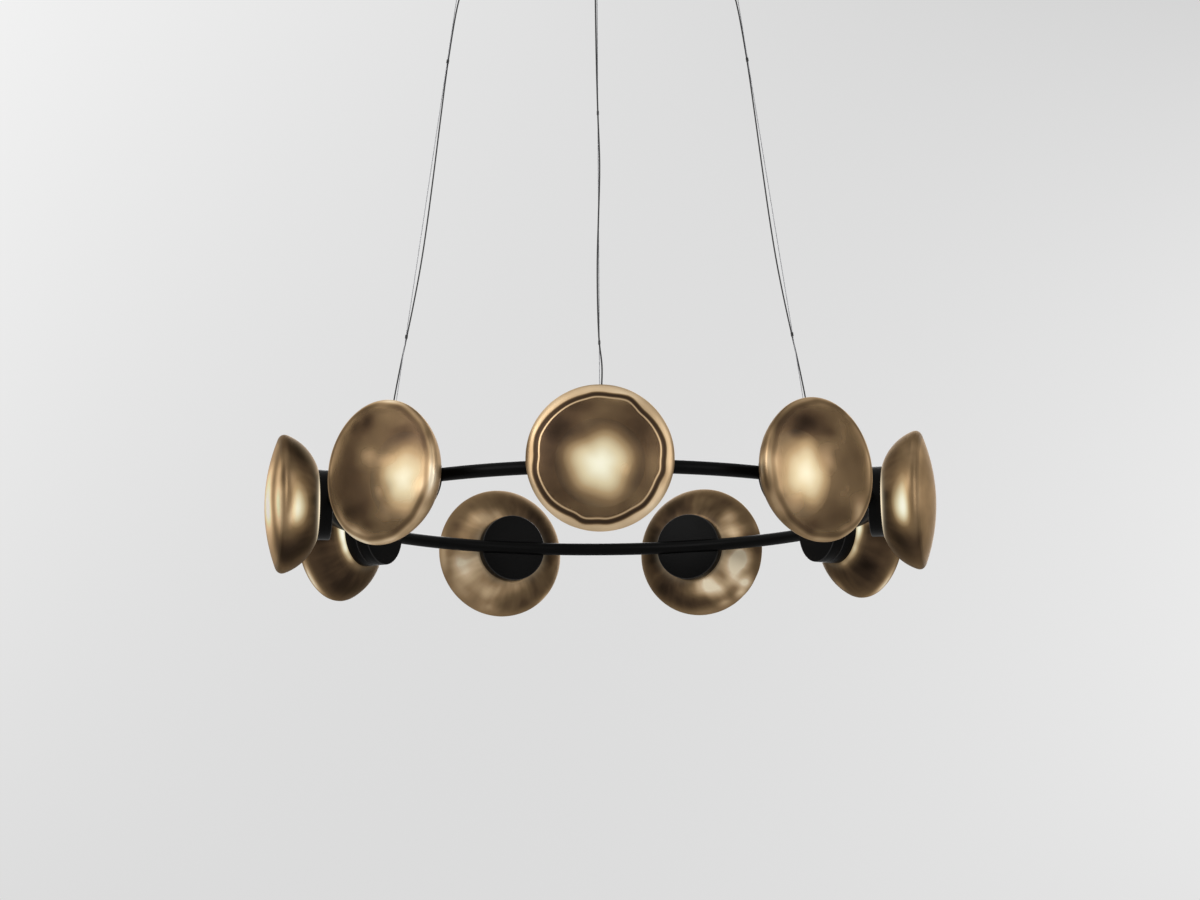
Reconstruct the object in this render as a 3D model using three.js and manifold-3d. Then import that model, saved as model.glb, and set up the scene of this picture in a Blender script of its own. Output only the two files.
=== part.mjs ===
// A ring chandelier: nine lit glass heads on a round tube ring, hung on three ropes from a round canopy.
// Millimetres, +Z up. The origin is the centre of the ceiling bracket's top face, so z = 0 is the ceiling.
// Azimuth 0 is the front (-Y) and turns towards +X.

import * as THREE from 'three';
import { mergeVertices } from 'three/addons/utils/BufferGeometryUtils.js';
import Module from 'manifold-3d';

const wasm = await Module();
wasm.setup();

// Clearances
const SEAT_GAP = 0.3;             // between faces that rest on each other
const TUBE_CLEARANCE = 0.4;       // between the ring tube and the saddles round it
const SWAY_CLEARANCE = 0.8;       // round a rope or lead in its hole, so that it can lean as the ring sways
const WELD_DISTANCE = 0.0001;     // vertices closer than this are one

// Ring
const RING_RADIUS = 400;          // to the tube's centreline
const TUBE_RADIUS = 9.5;
const TUBE_WALL = 2;
const TUBE_END_GAP = 12;          // wire gap between two tube ends inside a hub
const TUBE_STEPS = 12;
const TUBE_SIDES = 12;
const BORE_SIDES = 8;
const HEAD_COUNT = 9;
const HEADS_PER_ROPE = 3;
const DROP_HEIGHT = 880;          // from the canopy's underside down to the tube's centreline

// Head housing and hub drum. Depths are measured outwards from the tube's centreline.
const DRUM_RADIUS = 51;
const DRUM_CHAMFER = 1.5;
const DRUM_SIDES = 20;
const HOUSING_BACK = -2;
const HOUSING_THICKNESS = 19;
const BOSS_RADIUS = 43;
const BOSS_HEIGHT = 7;
const HUB_THICKNESS = 18.7;

// Glass
const GLASS_RADIUS = 100.5;
const GLASS_DEPTH = 74.2;         // from its seat on the housing to the middle of its face
const GLASS_WALL = 3;
const GLASS_SIDES = 20;
const OUTER_STEPS = [3, 2, 3];    // along the back, the edge and the front of the outer skin
const INNER_STEPS = [2, 1, 2];
const FLANGE_RADIUS = 54;         // where the flat flange turns into the bowl
const BOWL_RADIUS = 75;           // arc of the back
const RIM_RADIUS = 9;             // arc of the edge
const FACE_RADIUS = 262;          // arc of the front
const MOUTH_CLEARANCE = 0.8;      // between the glass's mouth and the housing's boss

// Retaining ring and LED board
const RETAINER_WIDTH = 5.4;
const RETAINER_CLEARANCE = 2.6;   // from the boss to the ring's inner corners, as its flats lie closer
const RETAINER_HEIGHT = 3.4;
const RETAINER_SIDES = 10;
const BOARD_RADIUS = 38;
const BOARD_THICKNESS = 1.6;
const BOARD_SIDES = 16;

// Rope and lead seats in a hub
const ROPE_RADIUS = 0.6;
const LEAD_RADIUS = 1.1;
const ROPE_INSET = 5;             // from the hub's inner face to the rope
const LEAD_SPACING = 6.5;         // from the rope out to the lead, at the hub
const COLLAR_RADIUS = 3.6;
const COLLAR_RISE = 3;            // how far the collar stands above the drum
const SEAT_DEPTH = 12;            // of the rope and the lead in the hub
const SEAT_END_ROOM = 1;
const SMALL_SIDES = 8;

// Canopy
const CANOPY_RADIUS = 268;
const CANOPY_HEIGHT = 36;
const CANOPY_WALL = 2;
const CANOPY_CORNER = 5;
const CANOPY_SIDES = 36;
const HOLE_SIDES = 12;
const ROPE_CIRCLE_RADIUS = 238;   // the three ball joints lie on it
const LEAD_INSET = 13;            // from a ball joint inwards to its lead's hole
const LEAD_TAIL = 6;              // of the lead above the canopy's floor

// Ceiling bracket
const BRACKET_THICKNESS = 3;
const BRACKET_RADIUS = 95;
const ARM_WIDTH = 32;
const ARM_CLEARANCE = 0.5;        // between an arm's end and the canopy's wall
const BRACKET_ARC_STEPS = 4;
const CABLE_HOLE_RADIUS = 10;
const CABLE_HOLE_OFFSET = 60;
const SCREW_HOLE_RADIUS = 3;
const SCREW_CIRCLE_RADIUS = 80;

// Ball joint and rope gripper. Heights along the gripper are measured from the ball's centre.
const BALL_RADIUS = 5.5;
const BALL_DROP = 2;              // the ball's centre below the canopy
const BALL_CLEARANCE = 0.6;
const BALL_STEPS = 4;
const CAVITY_STEPS = 6;
const SOCKET_WALL = 2.9;
const SOCKET_CLEARANCE = 0.5;     // round a socket in the canopy's floor
const SOCKET_LIP = 3.5;           // how far the socket reaches below the ball's centre
const SOCKET_SIDES = 12;
const SOCKET_STEM_RADIUS = 6;
const NECK_RADIUS = 2.6;
const NECK_END = -9;
const BARREL_RADIUS = 6;
const BARREL_END = -37;
const BARREL_NOSE_RADIUS = 4.8;
const NOSE_LENGTH = 3;
const NECK_TAPER = 2;
const ROPE_TOP = -14;             // the rope's end inside the gripper
const ROPE_BORE_CLEARANCE = 0.35;
const PLUNGER_RADIUS = 3.2;
const PLUNGER_CLEARANCE = 0.3;
const PLUNGER_TOP = -29;
const PLUNGER_POCKET_TOP = -25;
const PLUNGER_FLANGE_TOP = -42;
const PLUNGER_END = -44.5;
const PLUNGER_FLANGE_RADIUS = 4.4;
const GRIPPER_SIDES = 10;

// Driver and terminal block, under the bracket
const DRIVER_LENGTH = 160;
const DRIVER_WIDTH = 46;
const DRIVER_HEIGHT = 21;
const DRIVER_CORNER = 4;
const DRIVER_EAR_LENGTH = 9;
const DRIVER_EAR_WIDTH = 24;
const DRIVER_EAR_THICKNESS = 3;
const TERMINAL_WAYS = 3;
const TERMINAL_PITCH = 12;
const TERMINAL_DEPTH = 18;
const TERMINAL_HEIGHT = 14;
const TERMINAL_NOTCH = 4;
const TERMINAL_SPACING = 6;       // between the driver and the block

// Leads. Each row is a chosen point of the route: its share of the way up from the hub to the canopy,
// how far it stands out from the rope, and how far it stands to the rope's side.
const SIDE_LEAD_ROUTE = [
  [0.1, 6.4, 0.6], [0.19, 5.6, 1.8], [0.25, 3.2, 2.2], [0.3, 0, 2.3], [0.36, -3.6, 2.2],
  [0.43, -6.6, 1.6], [0.5, -7, 1.2], [0.6, -5, 1.4], [0.7, -2, 2.1], [0.8, 0, 2.3], [0.9, -2, 2.1],
  [0.935, -7, 1.5], [0.95, -11, 0.6],
];
const FRONT_LEAD_ROUTE = [
  [0.08, 5, 2.6], [0.12, 3, 3.4], [0.16, 2.3, 0], [0.22, 2.4, -1.8], [0.3, 2.4, -2], [0.38, 2.3, 0],
  [0.47, 2.3, 2], [0.565, 2.3, 0], [0.65, 2.2, -1.4], [0.74, 1.4, -2.2], [0.84, -0.6, -2.5],
  [0.9, -2, -2.3], [0.935, -7, -1.5], [0.95, -11, -0.6],
];
const LEAD_STEPS = 36;
const LEAD_STRAIGHT = 0.035;      // share of the way that runs straight at each end
const LEAD_SIDES = 6;

// Sizes that follow from the ones above
const RING_Z = -(CANOPY_HEIGHT + DROP_HEIGHT);
const HOUSING_FRONT = HOUSING_BACK + HOUSING_THICKNESS;
const BOSS_TOP = HOUSING_FRONT + BOSS_HEIGHT;
const HUB_FRONT = HOUSING_BACK - SEAT_GAP;
const HUB_BACK = HUB_FRONT - HUB_THICKNESS;
const GLASS_SEAT = HOUSING_FRONT + SEAT_GAP;
const ROPE_OFFSET = HUB_BACK + ROPE_INSET;
const LEAD_OFFSET = ROPE_OFFSET + LEAD_SPACING;
const COLLAR_TOP = DRUM_RADIUS + COLLAR_RISE;
const ROPE_COUNT = Math.floor(HEAD_COUNT / HEADS_PER_ROPE);
const HEAD_STEP = 2 * Math.PI / HEAD_COUNT;
const ROPE_STEP = HEAD_STEP * HEADS_PER_ROPE;
const BALL_Z = -CANOPY_HEIGHT - BALL_DROP;
const FOOT_RADIUS = RING_RADIUS + ROPE_OFFSET;
const FOOT_Z = RING_Z + COLLAR_TOP - SEAT_DEPTH / 2;
const ROPE_RUN = Math.hypot(FOOT_RADIUS - ROPE_CIRCLE_RADIUS, BALL_Z - FOOT_Z);
const ROPE_LEAN = Math.atan2(FOOT_RADIUS - ROPE_CIRCLE_RADIUS, BALL_Z - FOOT_Z);

// Finishes

function finish(color, roughness, metalness) {
  return () => new THREE.MeshStandardMaterial({ color, roughness, metalness });
}

const satinBlack = finish(0x131314, 0.45, 0.6);
const bronzeGlass = finish(0x8a6c47, 0.28, 0.85);
const castAluminium = finish(0x9b9ea0, 0.5, 0.8);
const boardWhite = finish(0xe9e4d2, 0.6, 0);
const steel = finish(0x8d8f91, 0.35, 1);
const zincSteel = finish(0xa9adb0, 0.5, 0.9);
const brass = finish(0xb08d4a, 0.35, 1);
const blackCable = finish(0x1b1b1c, 0.7, 0);
const whitePlastic = finish(0xdedede, 0.55, 0);

// Shape helpers

function arcPoints(centre, radius, from, to, steps) {
  const points = [];
  for (let i = 0; i <= steps; i++) {
    const angle = from + (to - from) * i / steps;
    points.push([centre[0] + radius * Math.cos(angle), centre[1] + radius * Math.sin(angle)]);
  }
  return points;
}

function polygon(radius, sides) {
  const corners = arcPoints([0, 0], radius, 0, 2 * Math.PI, sides).slice(0, -1);
  return corners.map(([x, y]) => new THREE.Vector2(x, y));
}

// A profile is a list of [radius, height], turned about the Z axis.
function revolve(profile, sides) {
  const geometry = new THREE.LatheGeometry(profile.map(([r, h]) => new THREE.Vector2(r, h)), sides);
  return geometry.rotateX(Math.PI / 2);
}

function cylinder(radius, from, to, sides) {
  const geometry = new THREE.CylinderGeometry(radius, radius, to - from, sides);
  return geometry.rotateX(Math.PI / 2).translate(0, 0, (from + to) / 2);
}

function extrude(shape, depth, curveSegments = 3) {
  return new THREE.ExtrudeGeometry(shape, { depth, bevelEnabled: false, curveSegments });
}

function solidOf(geometry) {
  const bare = new THREE.BufferGeometry();
  bare.setAttribute('position', geometry.attributes.position.clone());
  if (geometry.index) bare.setIndex(geometry.index.clone());
  const merged = mergeVertices(bare, WELD_DISTANCE);
  const triangles = [];
  for (let i = 0; i < merged.index.count; i += 3) {
    const [a, b, c] = [0, 1, 2].map((k) => merged.index.getX(i + k));
    if (a !== b && b !== c && c !== a) triangles.push(a, b, c);
  }
  return new wasm.Manifold(new wasm.Mesh({
    numProp: 3,
    vertProperties: merged.attributes.position.array,
    triVerts: Uint32Array.from(triangles),
  }));
}

function geometryOf(solid) {
  const mesh = solid.getMesh();
  const geometry = new THREE.BufferGeometry();
  geometry.setAttribute('position', new THREE.BufferAttribute(mesh.vertProperties, 3));
  geometry.setIndex(new THREE.BufferAttribute(mesh.triVerts, 1));
  geometry.computeVertexNormals();
  return geometry;
}

// Where circles round a and b meet, on the side towards the axis.
function innerMeeting(a, radiusA, b, radiusB) {
  const [dx, dy] = [b[0] - a[0], b[1] - a[1]];
  const apart = Math.hypot(dx, dy);
  const along = (radiusA ** 2 - radiusB ** 2 + apart ** 2) / (2 * apart);
  const aside = Math.sqrt(radiusA ** 2 - along ** 2);
  const foot = [a[0] + along * dx / apart, a[1] + along * dy / apart];
  const step = [-aside * dy / apart, aside * dx / apart];
  const found = [-1, 1].map((side) => [foot[0] + side * step[0], foot[1] + side * step[1]]);
  return found.sort((p, q) => p[0] - q[0])[0];
}

class RingArc extends THREE.Curve {
  constructor(radius, from, to) {
    super();
    Object.assign(this, { radius, from, to });
  }

  getPoint(t, target = new THREE.Vector3()) {
    const angle = this.from + (this.to - this.from) * t;
    return target.set(this.radius * Math.sin(angle), -this.radius * Math.cos(angle), 0);
  }
}

// Local X runs along the ring, Y up and Z outwards from the tube's centreline.
function headMatrix(azimuth) {
  const outwards = new THREE.Vector3(Math.sin(azimuth), -Math.cos(azimuth), 0);
  const along = new THREE.Vector3(Math.cos(azimuth), Math.sin(azimuth), 0);
  const matrix = new THREE.Matrix4().makeBasis(along, new THREE.Vector3(0, 0, 1), outwards);
  return matrix.setPosition(outwards.multiplyScalar(RING_RADIUS));
}

function mesh(name, geometry, material) {
  const made = new THREE.Mesh(geometry, material);
  made.name = name;
  return made;
}

// Ring tube: one arc from each hub to the next

function tubeSpan(index) {
  const halfGap = TUBE_END_GAP / 2 / RING_RADIUS;
  return new RingArc(RING_RADIUS, index * ROPE_STEP + halfGap, (index + 1) * ROPE_STEP - halfGap);
}

function sweepRing(index, section) {
  const extrudePath = tubeSpan(index);
  return new THREE.ExtrudeGeometry(section, { steps: TUBE_STEPS, extrudePath, bevelEnabled: false });
}

function makeTube(index) {
  const section = new THREE.Shape(polygon(TUBE_RADIUS, TUBE_SIDES));
  section.holes.push(new THREE.Path(polygon(TUBE_RADIUS - TUBE_WALL, BORE_SIDES)));
  return sweepRing(index, section);
}

// The room that the tube takes in the drums: its own arcs, a clearance thicker, joined across the hubs.
function makeSaddleCutter() {
  const radius = TUBE_RADIUS + TUBE_CLEARANCE;
  const section = new THREE.Shape(polygon(radius, TUBE_SIDES));
  const bridge = cylinder(radius, -TUBE_END_GAP, TUBE_END_GAP, TUBE_SIDES).rotateY(Math.PI / 2);
  let cutter = null;
  for (let i = 0; i < ROPE_COUNT; i++) {
    const arc = solidOf(sweepRing(i, section));
    const across = solidOf(bridge.clone().applyMatrix4(headMatrix(i * ROPE_STEP)));
    cutter = cutter ? cutter.add(arc).add(across) : arc.add(across);
  }
  return cutter;
}

function cutSaddle(geometry, azimuth, cutter) {
  const toHead = headMatrix(azimuth).invert();
  return solidOf(geometry).subtract(cutter.transform(toHead.elements));
}

// Head parts

function makeHousing(azimuth, cutter) {
  const rim = DRUM_RADIUS - DRUM_CHAMFER;
  const profile = [
    [0, HOUSING_BACK], [rim, HOUSING_BACK], [DRUM_RADIUS, HOUSING_BACK + DRUM_CHAMFER],
    [DRUM_RADIUS, HOUSING_FRONT - DRUM_CHAMFER], [rim, HOUSING_FRONT], [BOSS_RADIUS, HOUSING_FRONT],
    [BOSS_RADIUS, BOSS_TOP], [0, BOSS_TOP],
  ];
  return geometryOf(cutSaddle(revolve(profile, DRUM_SIDES), azimuth, cutter));
}

// One skin of the glass, from its flange to the middle of its face, inset by the wall for the inner skin.
function glassSkin(inset, [bowlSteps, rimSteps, faceSteps]) {
  const apex = GLASS_SEAT + GLASS_DEPTH;
  const faceCentre = [0, apex - FACE_RADIUS];
  const rimX = GLASS_RADIUS - RIM_RADIUS;
  const rimCentre = [rimX, faceCentre[1] + Math.sqrt((FACE_RADIUS - RIM_RADIUS) ** 2 - rimX ** 2)];
  const flange = [FLANGE_RADIUS, GLASS_SEAT];
  const bowlCentre = innerMeeting(rimCentre, BOWL_RADIUS - RIM_RADIUS, flange, BOWL_RADIUS);
  const outerStart = -Math.acos((FLANGE_RADIUS - bowlCentre[0]) / BOWL_RADIUS);
  const bowlEnd = Math.atan2(rimCentre[1] - bowlCentre[1], rimCentre[0] - bowlCentre[0]);
  const faceStart = Math.atan2(rimCentre[1] - faceCentre[1], rimCentre[0] - faceCentre[0]);
  const innerStart = Math.asin((GLASS_SEAT + inset - bowlCentre[1]) / (BOWL_RADIUS - inset));
  const bowlStart = inset ? innerStart : outerStart;
  return [
    ...arcPoints(bowlCentre, BOWL_RADIUS - inset, bowlStart, bowlEnd, bowlSteps),
    ...arcPoints(rimCentre, RIM_RADIUS - inset, bowlEnd, faceStart, rimSteps).slice(1),
    ...arcPoints(faceCentre, FACE_RADIUS - inset, faceStart, Math.PI / 2, faceSteps).slice(1, -1),
    [0, apex - inset],
  ];
}

function makeGlass() {
  const mouth = BOSS_RADIUS + MOUTH_CLEARANCE;
  const outer = glassSkin(0, OUTER_STEPS);
  const inner = glassSkin(GLASS_WALL, INNER_STEPS);
  const profile = [...inner.reverse(), [mouth, GLASS_SEAT + GLASS_WALL], [mouth, GLASS_SEAT], ...outer];
  return revolve(profile, GLASS_SIDES);
}

function makeRetainer() {
  const low = GLASS_SEAT + GLASS_WALL + SEAT_GAP;
  const high = low + RETAINER_HEIGHT;
  const inside = BOSS_RADIUS + RETAINER_CLEARANCE;
  const outside = inside + RETAINER_WIDTH;
  const corners = [[inside, high], [inside, low], [outside, low], [outside, high]];
  return revolve([...corners, corners[0]], RETAINER_SIDES);
}

function makeBoard() {
  const low = BOSS_TOP + SEAT_GAP;
  return cylinder(BOARD_RADIUS, low, low + BOARD_THICKNESS, BOARD_SIDES);
}

// Hub drum, with a collar on top where the rope and the lead go in

function makeHub(azimuth, cutter) {
  const rim = DRUM_RADIUS - DRUM_CHAMFER;
  const drum = revolve([
    [0, HUB_BACK], [rim, HUB_BACK], [DRUM_RADIUS, HUB_BACK + DRUM_CHAMFER],
    [DRUM_RADIUS, HUB_FRONT - DRUM_CHAMFER], [rim, HUB_FRONT], [0, HUB_FRONT],
  ], DRUM_SIDES);
  const outline = new THREE.Shape();
  outline.absarc(0, LEAD_OFFSET, COLLAR_RADIUS, 0, Math.PI, false);
  outline.absarc(0, ROPE_OFFSET, COLLAR_RADIUS, Math.PI, 2 * Math.PI, false);
  const collarDepth = COLLAR_RISE + SEAT_DEPTH;
  const collar = extrude(outline, collarDepth).rotateX(Math.PI / 2).translate(0, COLLAR_TOP, 0);
  const ropeHoleEnd = -SEAT_DEPTH / 2 - SEAT_END_ROOM;
  const ropeHole = cylinder(ROPE_RADIUS + SWAY_CLEARANCE, ropeHoleEnd, SEAT_DEPTH, SMALL_SIDES);
  ropeHole.rotateX(-ROPE_LEAN - Math.PI / 2).translate(0, COLLAR_TOP - SEAT_DEPTH / 2, ROPE_OFFSET);
  const leadHole = cylinder(LEAD_RADIUS + SWAY_CLEARANCE, 0, COLLAR_TOP + COLLAR_RISE, SMALL_SIDES);
  leadHole.rotateX(-Math.PI / 2).translate(0, 0, LEAD_OFFSET);
  const solid = cutSaddle(drum, azimuth, cutter).add(solidOf(collar));
  return geometryOf(solid.subtract(solidOf(ropeHole)).subtract(solidOf(leadHole)));
}

// Suspension: everything that leans with one rope is built about its ball joint, +Z up along the rope

function makeRope() {
  return cylinder(ROPE_RADIUS, -(ROPE_RUN + SEAT_DEPTH / 2), ROPE_TOP, SMALL_SIDES);
}

function makeBarrel() {
  const neckAngle = -Math.acos(NECK_RADIUS / BALL_RADIUS);
  const pocket = PLUNGER_RADIUS + PLUNGER_CLEARANCE;
  const bore = ROPE_RADIUS + ROPE_BORE_CLEARANCE;
  const profile = [
    [0, ROPE_TOP + SEAT_GAP], [bore, ROPE_TOP + SEAT_GAP], [bore, PLUNGER_POCKET_TOP],
    [pocket, PLUNGER_POCKET_TOP], [pocket, BARREL_END], [BARREL_NOSE_RADIUS, BARREL_END],
    [BARREL_RADIUS, BARREL_END + NOSE_LENGTH], [BARREL_RADIUS, NECK_END - NECK_TAPER],
    [NECK_RADIUS, NECK_END],
    ...arcPoints([0, 0], BALL_RADIUS, neckAngle, Math.PI / 2, BALL_STEPS).slice(0, -1), [0, BALL_RADIUS],
  ];
  return revolve(profile, GRIPPER_SIDES);
}

function makePlunger() {
  const bore = ROPE_RADIUS + ROPE_BORE_CLEARANCE;
  return revolve([
    [bore, PLUNGER_TOP], [bore, PLUNGER_END], [PLUNGER_FLANGE_RADIUS, PLUNGER_END],
    [PLUNGER_FLANGE_RADIUS, PLUNGER_FLANGE_TOP], [PLUNGER_RADIUS, PLUNGER_FLANGE_TOP],
    [PLUNGER_RADIUS, PLUNGER_TOP], [bore, PLUNGER_TOP],
  ], GRIPPER_SIDES);
}

// The lead's route at the front: X along the ring, -Y outwards, Z up, from the canopy's axis.
function leadRoute(route, side) {
  const low = RING_Z + COLLAR_TOP - SEAT_DEPTH + SEAT_END_ROOM;
  const high = -CANOPY_HEIGHT + CANOPY_WALL + LEAD_TAIL;
  const [foot, head] = [RING_RADIUS + LEAD_OFFSET, ROPE_CIRCLE_RADIUS - LEAD_INSET];
  const ropeRadius = (z) => FOOT_RADIUS - (z - FOOT_Z) * Math.tan(ROPE_LEAN);
  const height = (share) => low + share * (high - low);
  const middle = route.map(([share, out, aside]) =>
    new THREE.Vector3(side * aside, -ropeRadius(height(share)) - out, height(share)));
  return new THREE.CatmullRomCurve3([
    new THREE.Vector3(0, -foot, low), new THREE.Vector3(0, -foot, height(LEAD_STRAIGHT)),
    ...middle,
    new THREE.Vector3(0, -head, height(1 - LEAD_STRAIGHT)), new THREE.Vector3(0, -head, high),
  ]);
}

function makeLead(route, side) {
  const section = new THREE.Shape(polygon(LEAD_RADIUS, LEAD_SIDES));
  const extrudePath = leadRoute(route, side);
  return new THREE.ExtrudeGeometry(section, { steps: LEAD_STEPS, extrudePath, bevelEnabled: false });
}

// Canopy

function makeCover() {
  const inner = CANOPY_RADIUS - CANOPY_WALL;
  const floor = -CANOPY_HEIGHT;
  const cornerIn = CANOPY_CORNER - CANOPY_WALL;
  const centre = [CANOPY_RADIUS - CANOPY_CORNER, floor + CANOPY_CORNER];
  const profile = [
    [0, floor], ...arcPoints(centre, CANOPY_CORNER, -Math.PI / 2, 0, 2), [CANOPY_RADIUS, 0], [inner, 0],
    ...arcPoints(centre, cornerIn, 0, -Math.PI / 2, 1), [0, floor + CANOPY_WALL],
  ];
  let cover = solidOf(revolve(profile, CANOPY_SIDES));
  const socketRoom = socketRadius() + SOCKET_CLEARANCE;
  const socketHole = cylinder(socketRoom, -CANOPY_WALL, 2 * CANOPY_WALL, SOCKET_SIDES);
  const leadHole = cylinder(LEAD_RADIUS + SWAY_CLEARANCE, -CANOPY_WALL, 2 * CANOPY_WALL, SMALL_SIDES);
  socketHole.translate(0, -ROPE_CIRCLE_RADIUS, floor);
  leadHole.translate(0, LEAD_INSET - ROPE_CIRCLE_RADIUS, floor);
  for (let i = 0; i < ROPE_COUNT; i++) {
    for (const hole of [socketHole, leadHole]) {
      cover = cover.subtract(solidOf(hole.clone().rotateZ(i * ROPE_STEP)));
    }
  }
  return geometryOf(cover);
}

function socketRadius() {
  return BALL_RADIUS + BALL_CLEARANCE + SOCKET_WALL;
}

// A ball socket on a stem, its cavity open downwards and a little closed in at the lip.
function makeSocket() {
  const cavity = BALL_RADIUS + BALL_CLEARANCE;
  const lipAngle = -Math.asin(SOCKET_LIP / cavity);
  const stemTop = -BALL_Z - BRACKET_THICKNESS / 2;
  return revolve([
    [0, cavity], ...arcPoints([0, 0], cavity, Math.PI / 2, lipAngle, CAVITY_STEPS).slice(1),
    [socketRadius(), -SOCKET_LIP], [socketRadius(), cavity], [SOCKET_STEM_RADIUS, cavity + SOCKET_WALL],
    [SOCKET_STEM_RADIUS, stemTop], [0, stemTop],
  ], SOCKET_SIDES);
}

function makeBracket() {
  const reach = (CANOPY_RADIUS - CANOPY_WALL) * Math.cos(Math.PI / CANOPY_SIDES) - ARM_CLEARANCE;
  const rootAngle = Math.asin(ARM_WIDTH / 2 / BRACKET_RADIUS);
  const endAngle = Math.asin(ARM_WIDTH / 2 / reach);
  const outline = new THREE.Shape();
  for (let i = 0; i < ROPE_COUNT; i++) {
    const arm = i * ROPE_STEP - Math.PI / 2;
    outline.absarc(0, 0, reach, arm - endAngle, arm + endAngle, false);
    outline.absarc(0, 0, BRACKET_RADIUS, arm + rootAngle, arm + ROPE_STEP - rootAngle, false);
  }
  const cableHole = polygon(CABLE_HOLE_RADIUS, HOLE_SIDES).map((p) => p.setY(p.y + CABLE_HOLE_OFFSET));
  outline.holes.push(new THREE.Path(cableHole));
  const plate = extrude(outline, BRACKET_THICKNESS, BRACKET_ARC_STEPS);
  let bracket = solidOf(plate.translate(0, 0, -BRACKET_THICKNESS));
  for (let i = 0; i < ROPE_COUNT; i++) {
    const turn = i * ROPE_STEP;
    const socket = makeSocket().translate(0, -ROPE_CIRCLE_RADIUS, BALL_Z).rotateZ(turn);
    const screwHole = cylinder(SCREW_HOLE_RADIUS, -2 * BRACKET_THICKNESS, BRACKET_THICKNESS, SMALL_SIDES);
    screwHole.translate(0, -SCREW_CIRCLE_RADIUS, 0).rotateZ(turn + ROPE_STEP / 2);
    bracket = bracket.add(solidOf(socket)).subtract(solidOf(screwHole));
  }
  return geometryOf(bracket);
}

function makeDriver() {
  const [halfLength, halfWidth] = [DRIVER_LENGTH / 2, DRIVER_WIDTH / 2];
  const outline = new THREE.Shape();
  const [x, y] = [halfLength - DRIVER_CORNER, halfWidth - DRIVER_CORNER];
  outline.absarc(x, -y, DRIVER_CORNER, -Math.PI / 2, 0, false);
  outline.absarc(x, y, DRIVER_CORNER, 0, Math.PI / 2, false);
  outline.absarc(-x, y, DRIVER_CORNER, Math.PI / 2, Math.PI, false);
  outline.absarc(-x, -y, DRIVER_CORNER, Math.PI, 1.5 * Math.PI, false);
  const body = solidOf(extrude(outline, DRIVER_HEIGHT, 1).translate(0, 0, -DRIVER_HEIGHT));
  const earSpan = DRIVER_LENGTH + 2 * DRIVER_EAR_LENGTH;
  const ears = new THREE.BoxGeometry(earSpan, DRIVER_EAR_WIDTH, DRIVER_EAR_THICKNESS);
  return geometryOf(body.add(solidOf(ears.translate(0, 0, -DRIVER_EAR_THICKNESS / 2))));
}

// The terminal block's outline across its ways: a base with a notch between each two.
function makeTerminalBlock() {
  const width = TERMINAL_WAYS * TERMINAL_PITCH;
  const shoulder = TERMINAL_PITCH / 4;
  const outline = new THREE.Shape();
  outline.moveTo(-width / 2, 0);
  for (let i = 0; i < TERMINAL_WAYS; i++) {
    const left = -width / 2 + i * TERMINAL_PITCH;
    outline.lineTo(left, -TERMINAL_HEIGHT + TERMINAL_NOTCH);
    outline.lineTo(left + shoulder, -TERMINAL_HEIGHT);
    outline.lineTo(left + TERMINAL_PITCH - shoulder, -TERMINAL_HEIGHT);
  }
  outline.lineTo(width / 2, -TERMINAL_HEIGHT + TERMINAL_NOTCH);
  outline.lineTo(width / 2, 0);
  return extrude(outline, TERMINAL_DEPTH).rotateX(Math.PI / 2).translate(0, TERMINAL_DEPTH / 2, 0);
}

// Assembly

function buildHead(index, cutter) {
  const azimuth = index * HEAD_STEP;
  const number = index + 1;
  const head = new THREE.Group();
  head.applyMatrix4(headMatrix(azimuth));
  head.add(mesh(`head_housing_${number}`, makeHousing(azimuth, cutter), satinBlack()));
  head.add(mesh(`glass_shade_${number}`, makeGlass(), bronzeGlass()));
  head.add(mesh(`glass_retainer_${number}`, makeRetainer(), castAluminium()));
  head.add(mesh(`led_board_${number}`, makeBoard(), boardWhite()));
  return head;
}

function buildRing() {
  const ring = new THREE.Group();
  ring.position.z = RING_Z;
  const cutter = makeSaddleCutter();
  for (let i = 0; i < HEAD_COUNT; i++) ring.add(buildHead(i, cutter));
  for (let i = 0; i < ROPE_COUNT; i++) {
    ring.add(mesh(`ring_tube_${i + 1}`, makeTube(i), satinBlack()));
    const hub = mesh(`hub_drum_${i + 1}`, makeHub(i * ROPE_STEP, cutter), satinBlack());
    hub.applyMatrix4(headMatrix(i * ROPE_STEP));
    ring.add(hub);
  }
  return ring;
}

function buildSuspension(index) {
  const number = index + 1;
  const suspension = new THREE.Group();
  suspension.rotation.z = index * ROPE_STEP;
  const gripper = new THREE.Group();
  gripper.position.set(0, -ROPE_CIRCLE_RADIUS, BALL_Z);
  gripper.rotation.x = -ROPE_LEAN;
  gripper.add(mesh(`gripper_barrel_${number}`, makeBarrel(), brass()));
  gripper.add(mesh(`release_plunger_${number}`, makePlunger(), steel()));
  gripper.add(mesh(`suspension_rope_${number}`, makeRope(), steel()));
  suspension.add(gripper);
  const side = index === ROPE_COUNT - 1 ? -1 : 1;   // the last lead mirrors the one across from it
  const lead = makeLead(index === 0 ? FRONT_LEAD_ROUTE : SIDE_LEAD_ROUTE, side);
  suspension.add(mesh(`power_lead_${number}`, lead, blackCable()));
  return suspension;
}

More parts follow.
